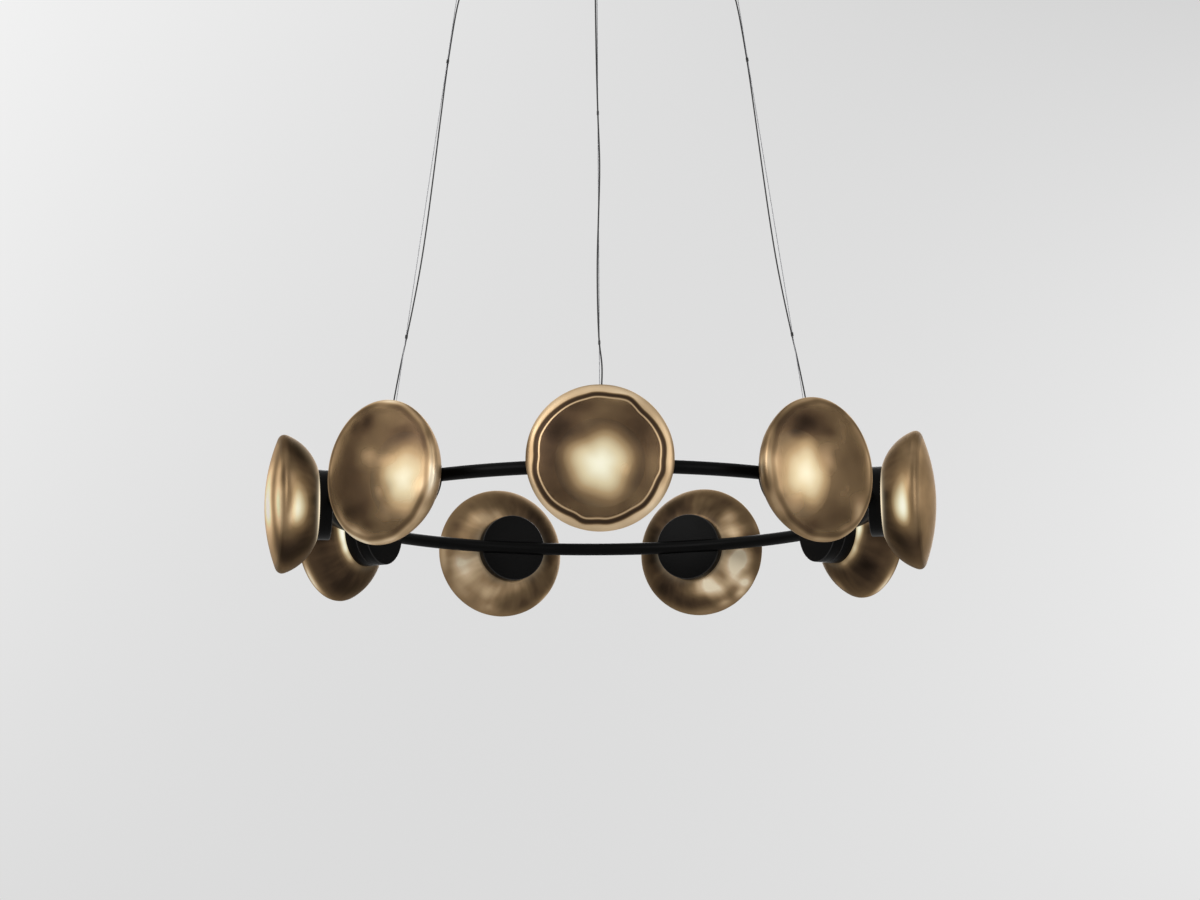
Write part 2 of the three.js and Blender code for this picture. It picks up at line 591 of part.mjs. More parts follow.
function buildCanopy() {
  const canopy = new THREE.Group();
  canopy.add(mesh('ceiling_bracket', makeBracket(), zincSteel()));
  canopy.add(mesh('canopy_cover', makeCover(), satinBlack()));
  const driver = mesh('led_driver', makeDriver(), whitePlastic());
  driver.position.z = -BRACKET_THICKNESS - SEAT_GAP;
  const block = mesh('terminal_block', makeTerminalBlock(), whitePlastic());
  block.position.y = (DRIVER_WIDTH + TERMINAL_DEPTH) / 2 + TERMINAL_SPACING;
  block.position.z = driver.position.z;
  canopy.add(driver, block);
  return canopy;
}

const chandelier = new THREE.Group();
chandelier.add(buildCanopy());
for (let i = 0; i < ROPE_COUNT; i++) chandelier.add(buildSuspension(i));
chandelier.add(buildRing());

export default chandelier;
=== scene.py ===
import math
from collections import namedtuple

import bpy
import numpy as np
from mathutils import Matrix, Vector


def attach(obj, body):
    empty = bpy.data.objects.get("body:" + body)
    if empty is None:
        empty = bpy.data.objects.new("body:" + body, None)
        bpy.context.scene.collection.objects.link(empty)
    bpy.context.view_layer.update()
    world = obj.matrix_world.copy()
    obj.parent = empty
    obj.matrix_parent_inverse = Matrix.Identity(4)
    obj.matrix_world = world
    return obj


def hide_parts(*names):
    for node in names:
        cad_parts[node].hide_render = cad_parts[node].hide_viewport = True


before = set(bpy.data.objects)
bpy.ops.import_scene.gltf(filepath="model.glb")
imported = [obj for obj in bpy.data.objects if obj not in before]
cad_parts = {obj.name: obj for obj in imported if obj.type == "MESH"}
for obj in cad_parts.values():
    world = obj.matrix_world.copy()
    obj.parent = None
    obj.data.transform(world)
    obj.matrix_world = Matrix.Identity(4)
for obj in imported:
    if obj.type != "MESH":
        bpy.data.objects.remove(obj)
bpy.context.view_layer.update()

# A ring chandelier: nine lit bronze glass heads on a black tube ring, hung from a canopy by three wire ropes.
# Metres, +Z up, the ceiling at z = 0, the front towards -Y. Azimuth 0 is the front and turns towards +X.

MM = 0.001

# Ring and heads
RING_RADIUS = 400 * MM
RING_Z = -916 * MM
TUBE_RADIUS = 9.5 * MM
TUBE_CLEARANCE = 0.4 * MM
TUBE_END_GAP = 12 * MM
TUBE_SIDES = 32
TUBE_STEPS = 80
HEAD_COUNT = 9
HEADS_PER_ROPE = 3
ROPE_COUNT = HEAD_COUNT // HEADS_PER_ROPE
HEAD_STEP = math.tau / HEAD_COUNT
ROPE_STEP = HEAD_STEP * HEADS_PER_ROPE

# Drums, by their depth outwards from the tube's centreline
DRUM_RADIUS = 51 * MM
DRUM_EDGE = 1.2 * MM
HOUSING_BACK = -2 * MM
HOUSING_FRONT = 17 * MM
BOSS_RADIUS = 43 * MM
BOSS_TOP = 24 * MM
HUB_FRONT = -2.3 * MM
HUB_BACK = -21 * MM
DRUM_SIDES = 96
SADDLE_SIDES = 40
SADDLE_STEPS = 16
SADDLE_OVERRUN = 1.3          # the cutter's length as a share of the drum's width
COLLAR_RADIUS = 3.6 * MM
COLLAR_TOP = 54 * MM
COLLAR_BASE = 49 * MM
COLLAR_EDGE = 0.5 * MM
SEAT_DEPTH = 12 * MM
SWAY_CLEARANCE = 0.8 * MM

# Glass
GLASS_RADIUS = 100.5 * MM
GLASS_SEAT = 17.3 * MM
GLASS_APEX = 91.5 * MM
GLASS_WALL = 3 * MM
GLASS_MOUTH = 43.8 * MM
FLANGE_RADIUS = 54 * MM
BOWL_RADIUS = 75 * MM
RIM_RADIUS = 9 * MM
FACE_RADIUS = 262 * MM
GLASS_COLUMNS = 144

# Rope, lead and gripper
ROPE_RADIUS = 0.6 * MM
LEAD_RADIUS = 1.1 * MM
ROPE_OFFSET = HUB_BACK + 5 * MM
LEAD_OFFSET = ROPE_OFFSET + 6.5 * MM
FOOT_RADIUS = RING_RADIUS + ROPE_OFFSET
FOOT_Z = RING_Z + 48 * MM
BALL_CIRCLE = 238 * MM
BALL_Z = -38 * MM
BALL_RADIUS = 5.5 * MM
NECK_RADIUS = 2.6 * MM
ROPE_TOP = -14 * MM
ROPE_RUN = math.hypot(FOOT_RADIUS - BALL_CIRCLE, BALL_Z - FOOT_Z)
ROPE_LEAN = math.atan2(FOOT_RADIUS - BALL_CIRCLE, BALL_Z - FOOT_Z)
ROPE_END = -(ROPE_RUN + SEAT_DEPTH / 2)
ROPE_LAY = 12 * MM
ROPE_STRANDS = 6
STRAND_SIDES = 5
STRAND_STEPS = 10
ROPE_STATIONS = 20
LEAD_SIDES = 12
LEAD_STEPS = 6
GRIPPER_SIDES = 40
PLUNGER_SIDES = 36

# Outlines of turned parts in mm: radius, and height along the rope from the ball's centre
BARREL_LINE = [
    (0, -13.7), (0.95, -13.7), (0.95, -25), (3.5, -25), (3.5, -36.6), (3.9, -37), (4.4, -37), (6, -34),
    (6, -30), (5.7, -29.7), (5.7, -29.3), (6, -29), (6, -12), (5.2, -11), (2.6, -9),
]
PLUNGER_LINE = [
    (0.95, -29), (0.95, -44.5), (3.9, -44.5), (4.4, -44), (4.4, -42.4), (4, -42), (3.2, -42), (3.2, -29),
]

# A clip's sections in mm: height along the rope, and how far the outline is drawn in there
CLIP_SECTIONS = [
    (-3, 0.35), (-2.6, 0), (-0.2, 0), (-0.1, 0.15), (0.1, 0.15), (0.2, 0), (2.6, 0), (3, 0.35),
]
CLIP_WALL_AT_ROPE = 0.7 * MM
CLIP_WALL_AT_LEAD = 0.5 * MM

# Canopy
CANOPY_RADIUS = 268 * MM
CANOPY_HEIGHT = 36 * MM
CANOPY_WALL = 2 * MM
CANOPY_CORNER = 5 * MM
SOCKET_RADIUS = 9 * MM
SOCKET_CLEARANCE = 0.5 * MM
LEAD_INSET = 13 * MM
LEAD_END_RISE = 6 * MM
CANOPY_SIDES = 160
HOLE_SIDES = 32

# The leads' chosen points: share of the way up, then mm out from the rope and mm to its side
SIDE_LEAD_ROUTE = [
    (0.1, 6.4, 0.6), (0.19, 5.6, 1.8), (0.25, 3.2, 2.2), (0.3, 0, 2.3), (0.36, -3.6, 2.2), (0.43, -6.6, 1.6),
    (0.5, -7, 1.2), (0.6, -5, 1.4), (0.7, -2, 2.1), (0.8, 0, 2.3), (0.9, -2, 2.1), (0.935, -7, 1.5),
    (0.95, -11, 0.6),
]
FRONT_LEAD_ROUTE = [
    (0.08, 5, 2.6), (0.12, 3, 3.4), (0.16, 2.3, 0), (0.22, 2.4, -1.8), (0.3, 2.4, -2), (0.38, 2.3, 0),
    (0.47, 2.3, 2), (0.565, 2.3, 0), (0.65, 2.2, -1.4), (0.74, 1.4, -2.2), (0.84, -0.6, -2.5),
    (0.9, -2, -2.3), (0.935, -7, -1.5), (0.95, -11, -0.6),
]
LEAD_STRAIGHT = 0.035         # share of its height over which a lead leaves its ends straight
SIDE_CLIPS = (0.3, 0.8)       # the clips' shares, each that of a chosen point
FRONT_CLIPS = (0.16, 0.565)

# The photograph's viewpoint
CAMERA_DISTANCE = 5.4796
CAMERA_BELOW = math.radians(8.775)
CAMERA_PITCH = math.radians(9.704)
CAMERA_ROLL = math.radians(-0.372)
FOCAL_LENGTH_MM = 112.11
SENSOR_WIDTH_MM = 36

# The photograph's backdrop: its tone in the middle, and what its edges differ by. Scaled, the view runs from
# -1 to 1 across and up.
VIEW_SCALE_ACROSS = 6.2
VIEW_SCALE_UP = 8.3
VIEW_MIDDLE_UP = 0.168
BACKDROP_TONE = 0.73
SIDES_LIGHTER = 0.078
TOP_LIGHTER = 0.01
CORNERS_DARKER = 0.076
RIGHT_ENDS_DARKER = 0.045
ROOM_LIGHT = 0.62             # what the surroundings give to matt surfaces
FLOOR_SIZE = 60
FLOOR_DROP = 1.5              # below the ring
FLOOR_LIFT = 0.17


# Camera, lights, floor

def add_object(name, data):
    item = bpy.data.objects.new(name, data)
    bpy.context.scene.collection.objects.link(item)
    return item


def place_camera():
    """The photograph's viewpoint, in front of the ring and below it."""
    data = bpy.data.cameras.new("camera")
    data.lens = FOCAL_LENGTH_MM
    data.sensor_width = SENSOR_WIDTH_MM
    data.clip_end = 200
    camera = add_object("camera", data)
    back = CAMERA_DISTANCE * math.cos(CAMERA_BELOW)
    down = CAMERA_DISTANCE * math.sin(CAMERA_BELOW)
    turn = Matrix.Rotation(math.pi / 2 + CAMERA_PITCH, 4, "X") @ Matrix.Rotation(CAMERA_ROLL, 4, "Z")
    camera.matrix_world = Matrix.Translation((0, -back, RING_Z - down)) @ turn
    bpy.context.scene.camera = camera


def add_area_light(name, place, target, size, watts):
    data = bpy.data.lights.new(name, "AREA")
    data.shape = "SQUARE"
    data.size = size
    data.energy = watts
    light = add_object(name, data)
    aim = (Vector(target) - Vector(place)).to_track_quat("-Z", "Y")
    light.matrix_world = Matrix.Translation(place) @ aim.to_matrix().to_4x4()


# Node building

class Wire:
    """A node's output socket that takes part in Python arithmetic."""

    def __init__(self, graph, socket):
        self.graph = graph
        self.socket = socket

    def maths(self, operation, *values):
        return self.graph.add("ShaderNodeMath", {"operation": operation}, dict(enumerate(values)))

    def __add__(self, other):
        return self.maths("ADD", self, other)

    __radd__ = __add__

    def __sub__(self, other):
        return self.maths("SUBTRACT", self, other)

    def __rsub__(self, other):
        return self.maths("SUBTRACT", other, self)

    def __mul__(self, other):
        return self.maths("MULTIPLY", self, other)

    __rmul__ = __mul__

    def __truediv__(self, other):
        return self.maths("DIVIDE", self, other)

    def __rtruediv__(self, other):
        return self.maths("DIVIDE", other, self)

    def size(self):
        return self.maths("ABSOLUTE", self)

    def clamped(self, low=0.0, high=1.0):
        return self.graph.add("ShaderNodeClamp", inputs={"Value": self, "Min": low, "Max": high})

    def between(self, low, high):
        """0 below low, 1 above high, smooth between."""
        return self.graph.add("ShaderNodeMapRange", {"interpolation_type": "SMOOTHSTEP"},
                              {"Value": self, "From Min": low, "From Max": high})


class Graph:
    """One node tree under construction."""

    def __init__(self, tree):
        self.tree = tree

    def add(self, kind, settings=None, inputs=None, output=0):
        node = self.tree.nodes.new(kind)
        for name, value in (settings or {}).items():
            setattr(node, name, value)
        for name, value in (inputs or {}).items():
            if isinstance(value, Wire):
                self.tree.links.new(value.socket, node.inputs[name])
            else:
                node.inputs[name].default_value = value
        return Wire(self, node.outputs[output]) if node.outputs else None

    def ramp(self, factor, stops):
        """Colours along a number, from stops in rising order."""
        node = self.tree.nodes.new("ShaderNodeValToRGB")
        elements = node.color_ramp.elements
        elements.remove(elements[1])
        elements[0].position, elements[0].color = stops[0][0], (*stops[0][1], 1)
        for position, colour in stops[1:]:
            elements.new(position).color = (*colour, 1)
        self.tree.links.new(factor.socket, node.inputs["Fac"])
        return Wire(self, node.outputs["Color"])

    def attribute(self, name, output="Fac"):
        return self.add("ShaderNodeAttribute", {"attribute_name": name}, output=output)

    def object_place(self):
        return self.add("ShaderNodeTexCoord", output="Object")

    def noise(self, vector, scale, detail):
        return self.add("ShaderNodeTexNoise", inputs={"Vector": vector, "Scale": scale, "Detail": detail})

    def speckle(self, scale, detail):
        """Noise in the object's own space."""
        return self.noise(self.object_place(), scale, detail)

    def mix(self, factor, first, second):
        """Colours mixed, each given as a wire or as red, green and blue."""
        ends = [end if isinstance(end, Wire) else (*end, 1) for end in (first, second)]
        return self.add("ShaderNodeMix", {"data_type": "RGBA"}, {0: factor, 6: ends[0], 7: ends[1]}, output=2)

    def tint(self, colour, level):
        """A colour made lighter or darker by a number that varies."""
        return self.add("ShaderNodeVectorMath", {"operation": "SCALE"}, {0: colour, "Scale": level})

    def bump(self, height, strength, distance):
        return self.add("ShaderNodeBump", inputs={
            "Height": height, "Strength": strength, "Distance": distance})


def make_finish(build):
    """A material named after the function that gives its shader's values."""
    material = bpy.data.materials.new(build.__name__)
    material.use_nodes = True
    graph = Graph(material.node_tree)
    shader = material.node_tree.nodes["Principled BSDF"]
    for socket, value in build(graph).items():
        if isinstance(value, Wire):
            graph.tree.links.new(value.socket, shader.inputs[socket])
        else:
            shader.inputs[socket].default_value = value
    return material


def from_srgb(red, green, blue):
    return tuple(((c / 255 + 0.055) / 1.055) ** 2.4 for c in (red, green, blue))


def satin_black_coat(graph):
    grain = graph.speckle(1400, 2)
    cloud = graph.speckle(30, 3)
    edge = graph.add("ShaderNodeLayerWeight", inputs={"Blend": 0.5}, output=1)
    # The rounded rims get a lighter base colour, a painted highlight, and more coat.
    rim_highlight = graph.attribute("rim_highlight").clamped() * (0.6 + 0.4 * cloud)
    coat = graph.mix(cloud, (0.0015, 0.0015, 0.0015), (0.0032, 0.003, 0.0028))
    return {
        "Base Color": graph.mix(rim_highlight, coat, (0.026, 0.025, 0.0235)),
        "Roughness": 0.34 + 0.12 * cloud,
        "Specular IOR Level": 0.05,
        "Coat Weight": (0.5 * edge.between(0.7, 0.98) + 0.5 * rim_highlight).clamped(),
        "Coat Roughness": 0.2,
        "Normal": graph.bump(grain, 0.12, 0.0002),
    }


# The bronze glass's tones from its deepest shade to its lightest, and those of the light that shows through
BRONZE_TONES = [
    (0.0, from_srgb(26, 19, 14)), (0.15, from_srgb(52, 40, 30)), (0.3, from_srgb(80, 63, 46)),
    (0.45, from_srgb(112, 92, 67)), (0.6, from_srgb(150, 125, 94)), (0.75, from_srgb(187, 162, 128)),
    (0.88, from_srgb(214, 190, 156)), (1.0, from_srgb(240, 226, 198)),
]
GLOW_TONES = [
    (0.0, (0, 0, 0)), (0.25, from_srgb(84, 67, 44)), (0.45, from_srgb(150, 129, 95)),
    (0.65, from_srgb(204, 193, 158)), (0.82, from_srgb(232, 231, 206)), (1.0, from_srgb(252, 251, 240)),
]
LEAK_COLOUR = (1.25, 1.05, 0.74)
# The lip's bright line is a painted highlight and the dark trough outside it painted shade.
LINE_TONE = 0.74          # of the bright line along a crisp lip
TROUGH_TONE = 0.16        # of the dark trough outside that line
CLOUDING = 0.24           # how much the tone varies from place to place, and from spoke to spoke at the back
FACE_COVER = 0.62         # how much of what is seen of a face is its coating; the rest is the light inside
BEHIND_FACE = 1 / (1 - FACE_COVER)

# Zones number the glass along its line: 0 is the middle of the face, 1 the lip line, 2 the fold, 3 the flange
MOUTH_ZONE = 3.1
INNER_ZONE = 3.2
CLEAR_ZONE = 3.5          # the part of the inner skin that is left uncoated, behind the face


def bronze_glass(graph):
    zone = graph.attribute("zone")
    lip = graph.attribute("lip")
    form = graph.attribute("form", output="Vector")
    spokes = graph.attribute("spokes", output="Vector")
    cover = graph.attribute("cover")
    cloud = graph.noise(form, 24, 2)
    streak = graph.noise(spokes, 6, 1) - 0.5
    back = zone.between(2.1, 2.4)
    # The tone holds painted reflections and shading as well as the glass's colour.
    tone = graph.attribute("tone") + CLOUDING * (cloud - 0.5) + CLOUDING * back * streak
    # Near a crisp lip: a painted highlight along the line and painted shade in the trough outside it.
    near_line = 1 - (zone - 1.0).size().between(0.003, 0.026)
    near_trough = 1 - (zone - 0.956 - 0.1 * lip).size().between(0.004, 0.058)
    tone = tone + (1.4 * lip - 0.4).clamped() * near_trough * (TROUGH_TONE - tone)
    tone = tone + (2 * lip - 1).clamped() * near_line * (LINE_TONE - tone)
    facing = graph.add("ShaderNodeLayerWeight", inputs={"Blend": 0.5}, output=1)
    outside = 1 - zone.between(3.0, 3.05)
    heat = graph.mix(graph.attribute("leak"), graph.ramp(graph.attribute("glow"), GLOW_TONES), LEAK_COLOUR)
    return {
        "Base Color": graph.tint(graph.ramp(tone, BRONZE_TONES), 1.12 / cover.clamped(0.55, 1)),
        "Metallic": 0.94,
        "Specular Tint": (0.8, 0.68, 0.55, 1),
        "Roughness": 0.4 + 0.1 * cloud,
        "Alpha": cover + outside * (1 - cover) * facing.between(0.5, 0.68),
        "Emission Color": graph.tint(heat, 1 + (BEHIND_FACE - 1) * zone.between(3.1, 3.15)),
        "Emission Strength": 1.0,
        "Normal": graph.bump(graph.noise(form, 11, 1), 0.3, 0.004),
    }


def mottled(graph, pattern, dark, light, roughness, spread, metallic=0.0, bump=None):
    """From dark to light by a pattern of 0 to 1, and rougher where it is lighter."""
    values = {
        "Base Color": graph.mix(pattern, dark, light),
        "Metallic": metallic,
        "Roughness": roughness + spread * pattern,
    }
    if bump:
        strength, distance = bump
        values["Normal"] = graph.bump(pattern, strength, distance)
    return values


def opal_diffuser(graph):
    values = mottled(graph, graph.speckle(400, 2), (0.05, 0.045, 0.035), (0.08, 0.07, 0.055), 0.5, 0.1)
    values["Emission Color"] = graph.ramp(graph.attribute("glow"), GLOW_TONES)
    values["Emission Strength"] = BEHIND_FACE
    return values


def wire_steel(graph):
    return mottled(graph, graph.speckle(260, 2), (0.2, 0.2, 0.21), (0.48, 0.48, 0.5), 0.28, 0.15, 1.0)


def nickel_plate(graph):
    """Turned, so its fine lines run round it."""
    stretched = graph.add("ShaderNodeMapping", inputs={"Vector": graph.object_place(), "Scale": (1, 1, 40)})
    return mottled(graph, graph.noise(stretched, 60, 2), (0.26, 0.25, 0.235), (0.4, 0.385, 0.36),
                   0.3, 0.15, 1.0, (0.08, 0.0001))


def lead_sheath(graph):
    return mottled(graph, graph.speckle(300, 3), (0.008, 0.008, 0.008), (0.03, 0.03, 0.03),
                   0.5, 0.25, bump=(0.1, 0.0001))


def zinc_plate(graph):
    """Spangled in flat cells."""
    cells = graph.add("ShaderNodeTexVoronoi", inputs={"Vector": graph.object_place(), "Scale": 110},
                      output="Color")
    tone = graph.add("ShaderNodeSeparateColor", inputs={0: cells})
    return mottled(graph, tone, (0.42, 0.43, 0.45), (0.6, 0.61, 0.63), 0.3, 0.25, 1.0)


def cast_aluminium(graph):
    return mottled(graph, graph.speckle(500, 3), (0.42, 0.43, 0.44), (0.62, 0.62, 0.63),
                   0.4, 0.2, 1.0, (0.2, 0.0002))


def moulded_white(graph):
    return mottled(graph, graph.speckle(700, 3), (0.68, 0.68, 0.66), (0.78, 0.78, 0.76),
                   0.45, 0.15, bump=(0.15, 0.0001))


def pale_floor(graph):
    """Matt and shadowed, and lifted to the backdrop's tone for the camera alone."""
    paths = graph.tree.nodes.new("ShaderNodeLightPath")
    seen = Wire(graph, paths.outputs["Is Camera Ray"])
    return {
        "Base Color": graph.mix(graph.speckle(3, 2), (0.68, 0.68, 0.68), (0.7, 0.7, 0.7)),
        "Roughness": 0.8,
        "Emission Color": graph.mix(seen, (0, 0, 0), [FLOOR_LIFT] * 3),
        "Emission Strength": 1.0,
    }


def light_scene():
    """The photograph's soft backdrop for what is seen or mirrored, plain light for the rest, and lamps."""
    world = bpy.data.worlds.new("studio")
    bpy.context.scene.world = world
    world.use_nodes = True
    graph = Graph(world.node_tree)
    direction = graph.add("ShaderNodeTexCoord", output="Generated")
    split = graph.tree.nodes.new("ShaderNodeSeparateXYZ")
    graph.tree.links.new(direction.socket, split.inputs[0])
    side = (Wire(graph, split.outputs[0]) * VIEW_SCALE_ACROSS).clamped(-1, 1)
    height = ((Wire(graph, split.outputs[2]) - VIEW_MIDDLE_UP) * VIEW_SCALE_UP).clamped(-1, 1)
    level = BACKDROP_TONE + SIDES_LIGHTER * side * side + TOP_LIGHTER * height
    level = level - CORNERS_DARKER * side * height
    level = level - RIGHT_ENDS_DARKER * (side + side * side) * height * height
    paths = graph.tree.nodes.new("ShaderNodeLightPath")
    camera, glossy, through = [Wire(graph, paths.outputs[f"Is {kind} Ray"])
                               for kind in ("Camera", "Glossy", "Transmission")]
    seen = (camera + glossy + through).clamped()
    strength = seen * level + (1 - seen) * ROOM_LIGHT
    background = graph.tree.nodes["Background"]
    background.inputs["Color"].default_value = (1, 1, 1, 1)
    graph.tree.links.new(strength.socket, background.inputs["Strength"])
    middle = (0, 0, RING_Z)
    add_area_light("key", (-2.6, -2.8, 0.4), middle, 2.2, 60)
    add_area_light("fill", (2.8, -2.4, -0.4), middle, 2.4, 35)
    add_area_light("back", (0.5, 3.2, 0.2), middle, 2.4, 40)


def lay_floor():
    bpy.ops.mesh.primitive_plane_add(size=FLOOR_SIZE, location=(0, 0, RING_Z - FLOOR_DROP))
    floor = bpy.context.object
    floor.name = "floor"
    floor.data.materials.append(make_finish(pale_floor))


# Meshes

def head_matrix(azimuth):
    """Local X runs along the ring, Y up and Z outwards from the tube's centreline."""
    outwards = Vector((math.sin(azimuth), -math.cos(azimuth), 0))
    along = Vector((math.cos(azimuth), math.sin(azimuth), 0))
    matrix = Matrix((along, (0, 0, 1), outwards)).transposed().to_4x4()
    return Matrix.Translation(outwards * RING_RADIUS + Vector((0, 0, RING_Z))) @ matrix


def rope_matrix(index):
    """Origin at the ball joint, Z up along the rope."""
    tilt = Matrix.Translation((0, -BALL_CIRCLE, BALL_Z)) @ Matrix.Rotation(-ROPE_LEAN, 4, "X")
    return Matrix.Rotation(index * ROPE_STEP, 4, "Z") @ tilt


def add_piece(name, mesh, material, body, nodes=(), crease=30):
    mesh.materials.clear()
    mesh.materials.append(material)
    for polygon in mesh.polygons:
        polygon.use_smooth = True
        polygon.material_index = 0
    if crease:
        mesh.set_sharp_from_angle(angle=math.radians(crease))
    piece = add_object(name, mesh)
    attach(piece, body)
    if nodes:
        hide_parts(*nodes)
    return piece


def mesh_of(name, points, faces):
    mesh = bpy.data.meshes.new(name)
    mesh.from_pydata(points, [], faces)
    mesh.validate()
    mesh.update()
    return mesh


def in_mm(profile):
    """A profile that is written in mm, in metres."""
    return [(radius * MM, height * MM) for radius, height in profile]


def arc(centre, radius, start, end, steps):
    """Points from one angle to the other, in degrees."""
    angles = [math.radians(start + (end - start) * i / steps) for i in range(steps + 1)]
    return [(centre[0] + radius * math.cos(a), centre[1] + radius * math.sin(a)) for a in angles]


def revolved(name, profile, sides, matrix=Matrix()):
    """A closed turned body. Its profile is (radius, height), anticlockwise, from the axis or in a loop."""
    points, faces, rows = [], [], []
    for radius, height in profile:
        if radius < 1e-9:
            rows.append([len(points)] * sides)
            points.append(matrix @ Vector((0, 0, height)))
        else:
            rows.append(list(range(len(points), len(points) + sides)))
            for k in range(sides):
                angle = math.tau * k / sides
                points.append(matrix @ Vector((radius * math.cos(angle), radius * math.sin(angle), height)))
    closed = profile[0][0] > 1e-9
    if closed:
        rows.append(rows[0])
    for low, high in zip(rows[:-1], rows[1:]):
        for k in range(sides):
            n = (k + 1) % sides
            corners = [low[k], low[n], high[n], high[k]]
            face = [c for i, c in enumerate(corners) if c not in corners[:i]]
            if len(face) > 2:
                faces.append(face)
    return mesh_of(name, points, faces)


def stack_faces(rings, columns):
    """Faces of a closed body that is a stack of rings of points, capped at both ends."""
    faces = []
    for row in range(rings - 1):
        a, b = row * columns, (row + 1) * columns
        faces += [[a + k, a + (k + 1) % columns, b + (k + 1) % columns, b + k] for k in range(columns)]
    return faces + [list(range(columns))[::-1], list(range((rings - 1) * columns, rings * columns))]


def swept(name, path, radius, sides):
    """A round tube with closed ends along a list of points."""
    path = [Vector(p) for p in path]
    points = []
    side = Vector((1, 0, 0))
    for i, place in enumerate(path):
        ahead = (path[min(i + 1, len(path) - 1)] - path[max(i - 1, 0)]).normalized()
        side = (side - ahead * side.dot(ahead)).normalized()
        other = ahead.cross(side)
        for k in range(sides):
            angle = math.tau * k / sides
            points.append(place + (side * math.cos(angle) + other * math.sin(angle)) * radius)
    return mesh_of(name, points, stack_faces(len(path), sides))


def evaluated(piece):
    """The object's mesh with its modifiers applied."""
    depsgraph = bpy.context.evaluated_depsgraph_get()
    return bpy.data.meshes.new_from_object(piece.evaluated_get(depsgraph))


def with_modifiers(mesh, add_modifiers):
    piece = add_object("work", mesh)
    add_modifiers(piece)
    made = evaluated(piece)
    bpy.data.objects.remove(piece)
    return made


def cut_from(mesh, *cutters):
    """The mesh less each cutter mesh."""
    tools = [add_object("cutter", cutter) for cutter in cutters]

    def booleans(piece):
        for tool in tools:
            modifier = piece.modifiers.new("cut", "BOOLEAN")
            modifier.operation = "DIFFERENCE"
            modifier.solver = "EXACT"
            modifier.object = tool

    made = with_modifiers(mesh, booleans)
    for tool in tools:
        bpy.data.objects.remove(tool)
    return made


# Geometry node trees

def new_tree(name, sizes):
    """A tree with a named number input for each size, and the wires from them."""
    tree = bpy.data.node_groups.new(name, "GeometryNodeTree")
    tree.interface.new_socket("Geometry", in_out="OUTPUT", socket_type="NodeSocketGeometry")
    for size, kind in sizes.items():
        tree.interface.new_socket(size, in_out="INPUT", socket_type="NodeSocket" + kind)
    graph = Graph(tree)
    source = tree.nodes.new("NodeGroupInput")
    return graph, {size: Wire(graph, source.outputs[size]) for size in sizes}


def end_tree(graph, geometry, material):
    """Realize Instances and Set Material, then the output."""
    real = graph.add("GeometryNodeRealizeInstances", inputs={"Geometry": geometry})
    painted = graph.add("GeometryNodeSetMaterial", inputs={"Geometry": real, "Material": material})
    graph.add("NodeGroupOutput", inputs={"Geometry": painted})
    return graph.tree


def run_tree(tree, values, matrix=Matrix()):
    """The plain mesh that a tree makes from the values of its named inputs."""
    piece = add_object("work", bpy.data.meshes.new("work"))
    modifier = piece.modifiers.new("maker", "NODES")
    modifier.node_group = tree
    for item in tree.interface.items_tree:
        if item.in_out == "INPUT":
            modifier[item.identifier] = values[item.name]
    mesh = evaluated(piece)
    bpy.data.objects.remove(piece)
    mesh.transform(matrix)
    return mesh


def make_arc_tree(material):
    """A round tube bent to an arc about the Z axis."""
    graph, size = new_tree("bent_tube", {
        "Ring Radius": "Float", "Start": "Float", "Sweep": "Float", "Tube Radius": "Float", "Steps": "Int"})
    line = graph.add("GeometryNodeCurveArc", inputs={
        "Resolution": size["Steps"], "Radius": size["Ring Radius"], "Start Angle": size["Start"],
        "Sweep Angle": size["Sweep"]})
    return end_tree(graph, tube_on(graph, line, TUBE_SIDES, size["Tube Radius"]), material)


def tube_on(graph, line, sides, radius):
    """A closed round tube along a curve."""
    section = graph.add("GeometryNodeCurvePrimitiveCircle", inputs={"Resolution": sides, "Radius": radius})
    return graph.add("GeometryNodeCurveToMesh", inputs={
        "Curve": line, "Profile Curve": section, "Fill Caps": True})


def make_strand_tree(material):
    """A wire rope: strands laid in a helix round a core."""
    graph, size = new_tree("laid_rope", {
        "Length": "Float", "Rope Radius": "Float", "Lay": "Float", "Strands": "Int", "Steps": "Int"})
    strand_radius = size["Rope Radius"] / 3
    centre_radius = size["Rope Radius"] - strand_radius
    helix = graph.add("GeometryNodeCurveSpiral", inputs={
        "Resolution": size["Steps"], "Rotations": size["Length"] / size["Lay"],
        "Start Radius": centre_radius, "End Radius": centre_radius, "Height": size["Length"]})
    share = graph.add("GeometryNodeInputIndex") / size["Strands"]
    laid = graph.add("GeometryNodeInstanceOnPoints", inputs={
        "Points": graph.add("GeometryNodePoints", inputs={"Count": size["Strands"]}),
        "Instance": tube_on(graph, helix, STRAND_SIDES, strand_radius),
        "Rotation": graph.add("ShaderNodeCombineXYZ", inputs={"Z": share * math.tau})})
    top = graph.add("ShaderNodeCombineXYZ", inputs={"Z": size["Length"]})
    core_line = graph.add("GeometryNodeCurvePrimitiveLine", inputs={"End": top})
    rope = graph.tree.nodes.new("GeometryNodeJoinGeometry")
    for part in (laid, tube_on(graph, core_line, STRAND_SIDES, strand_radius)):
        graph.tree.links.new(part.socket, rope.inputs[0])
    return end_tree(graph, Wire(graph, rope.outputs[0]), material)


# Glass

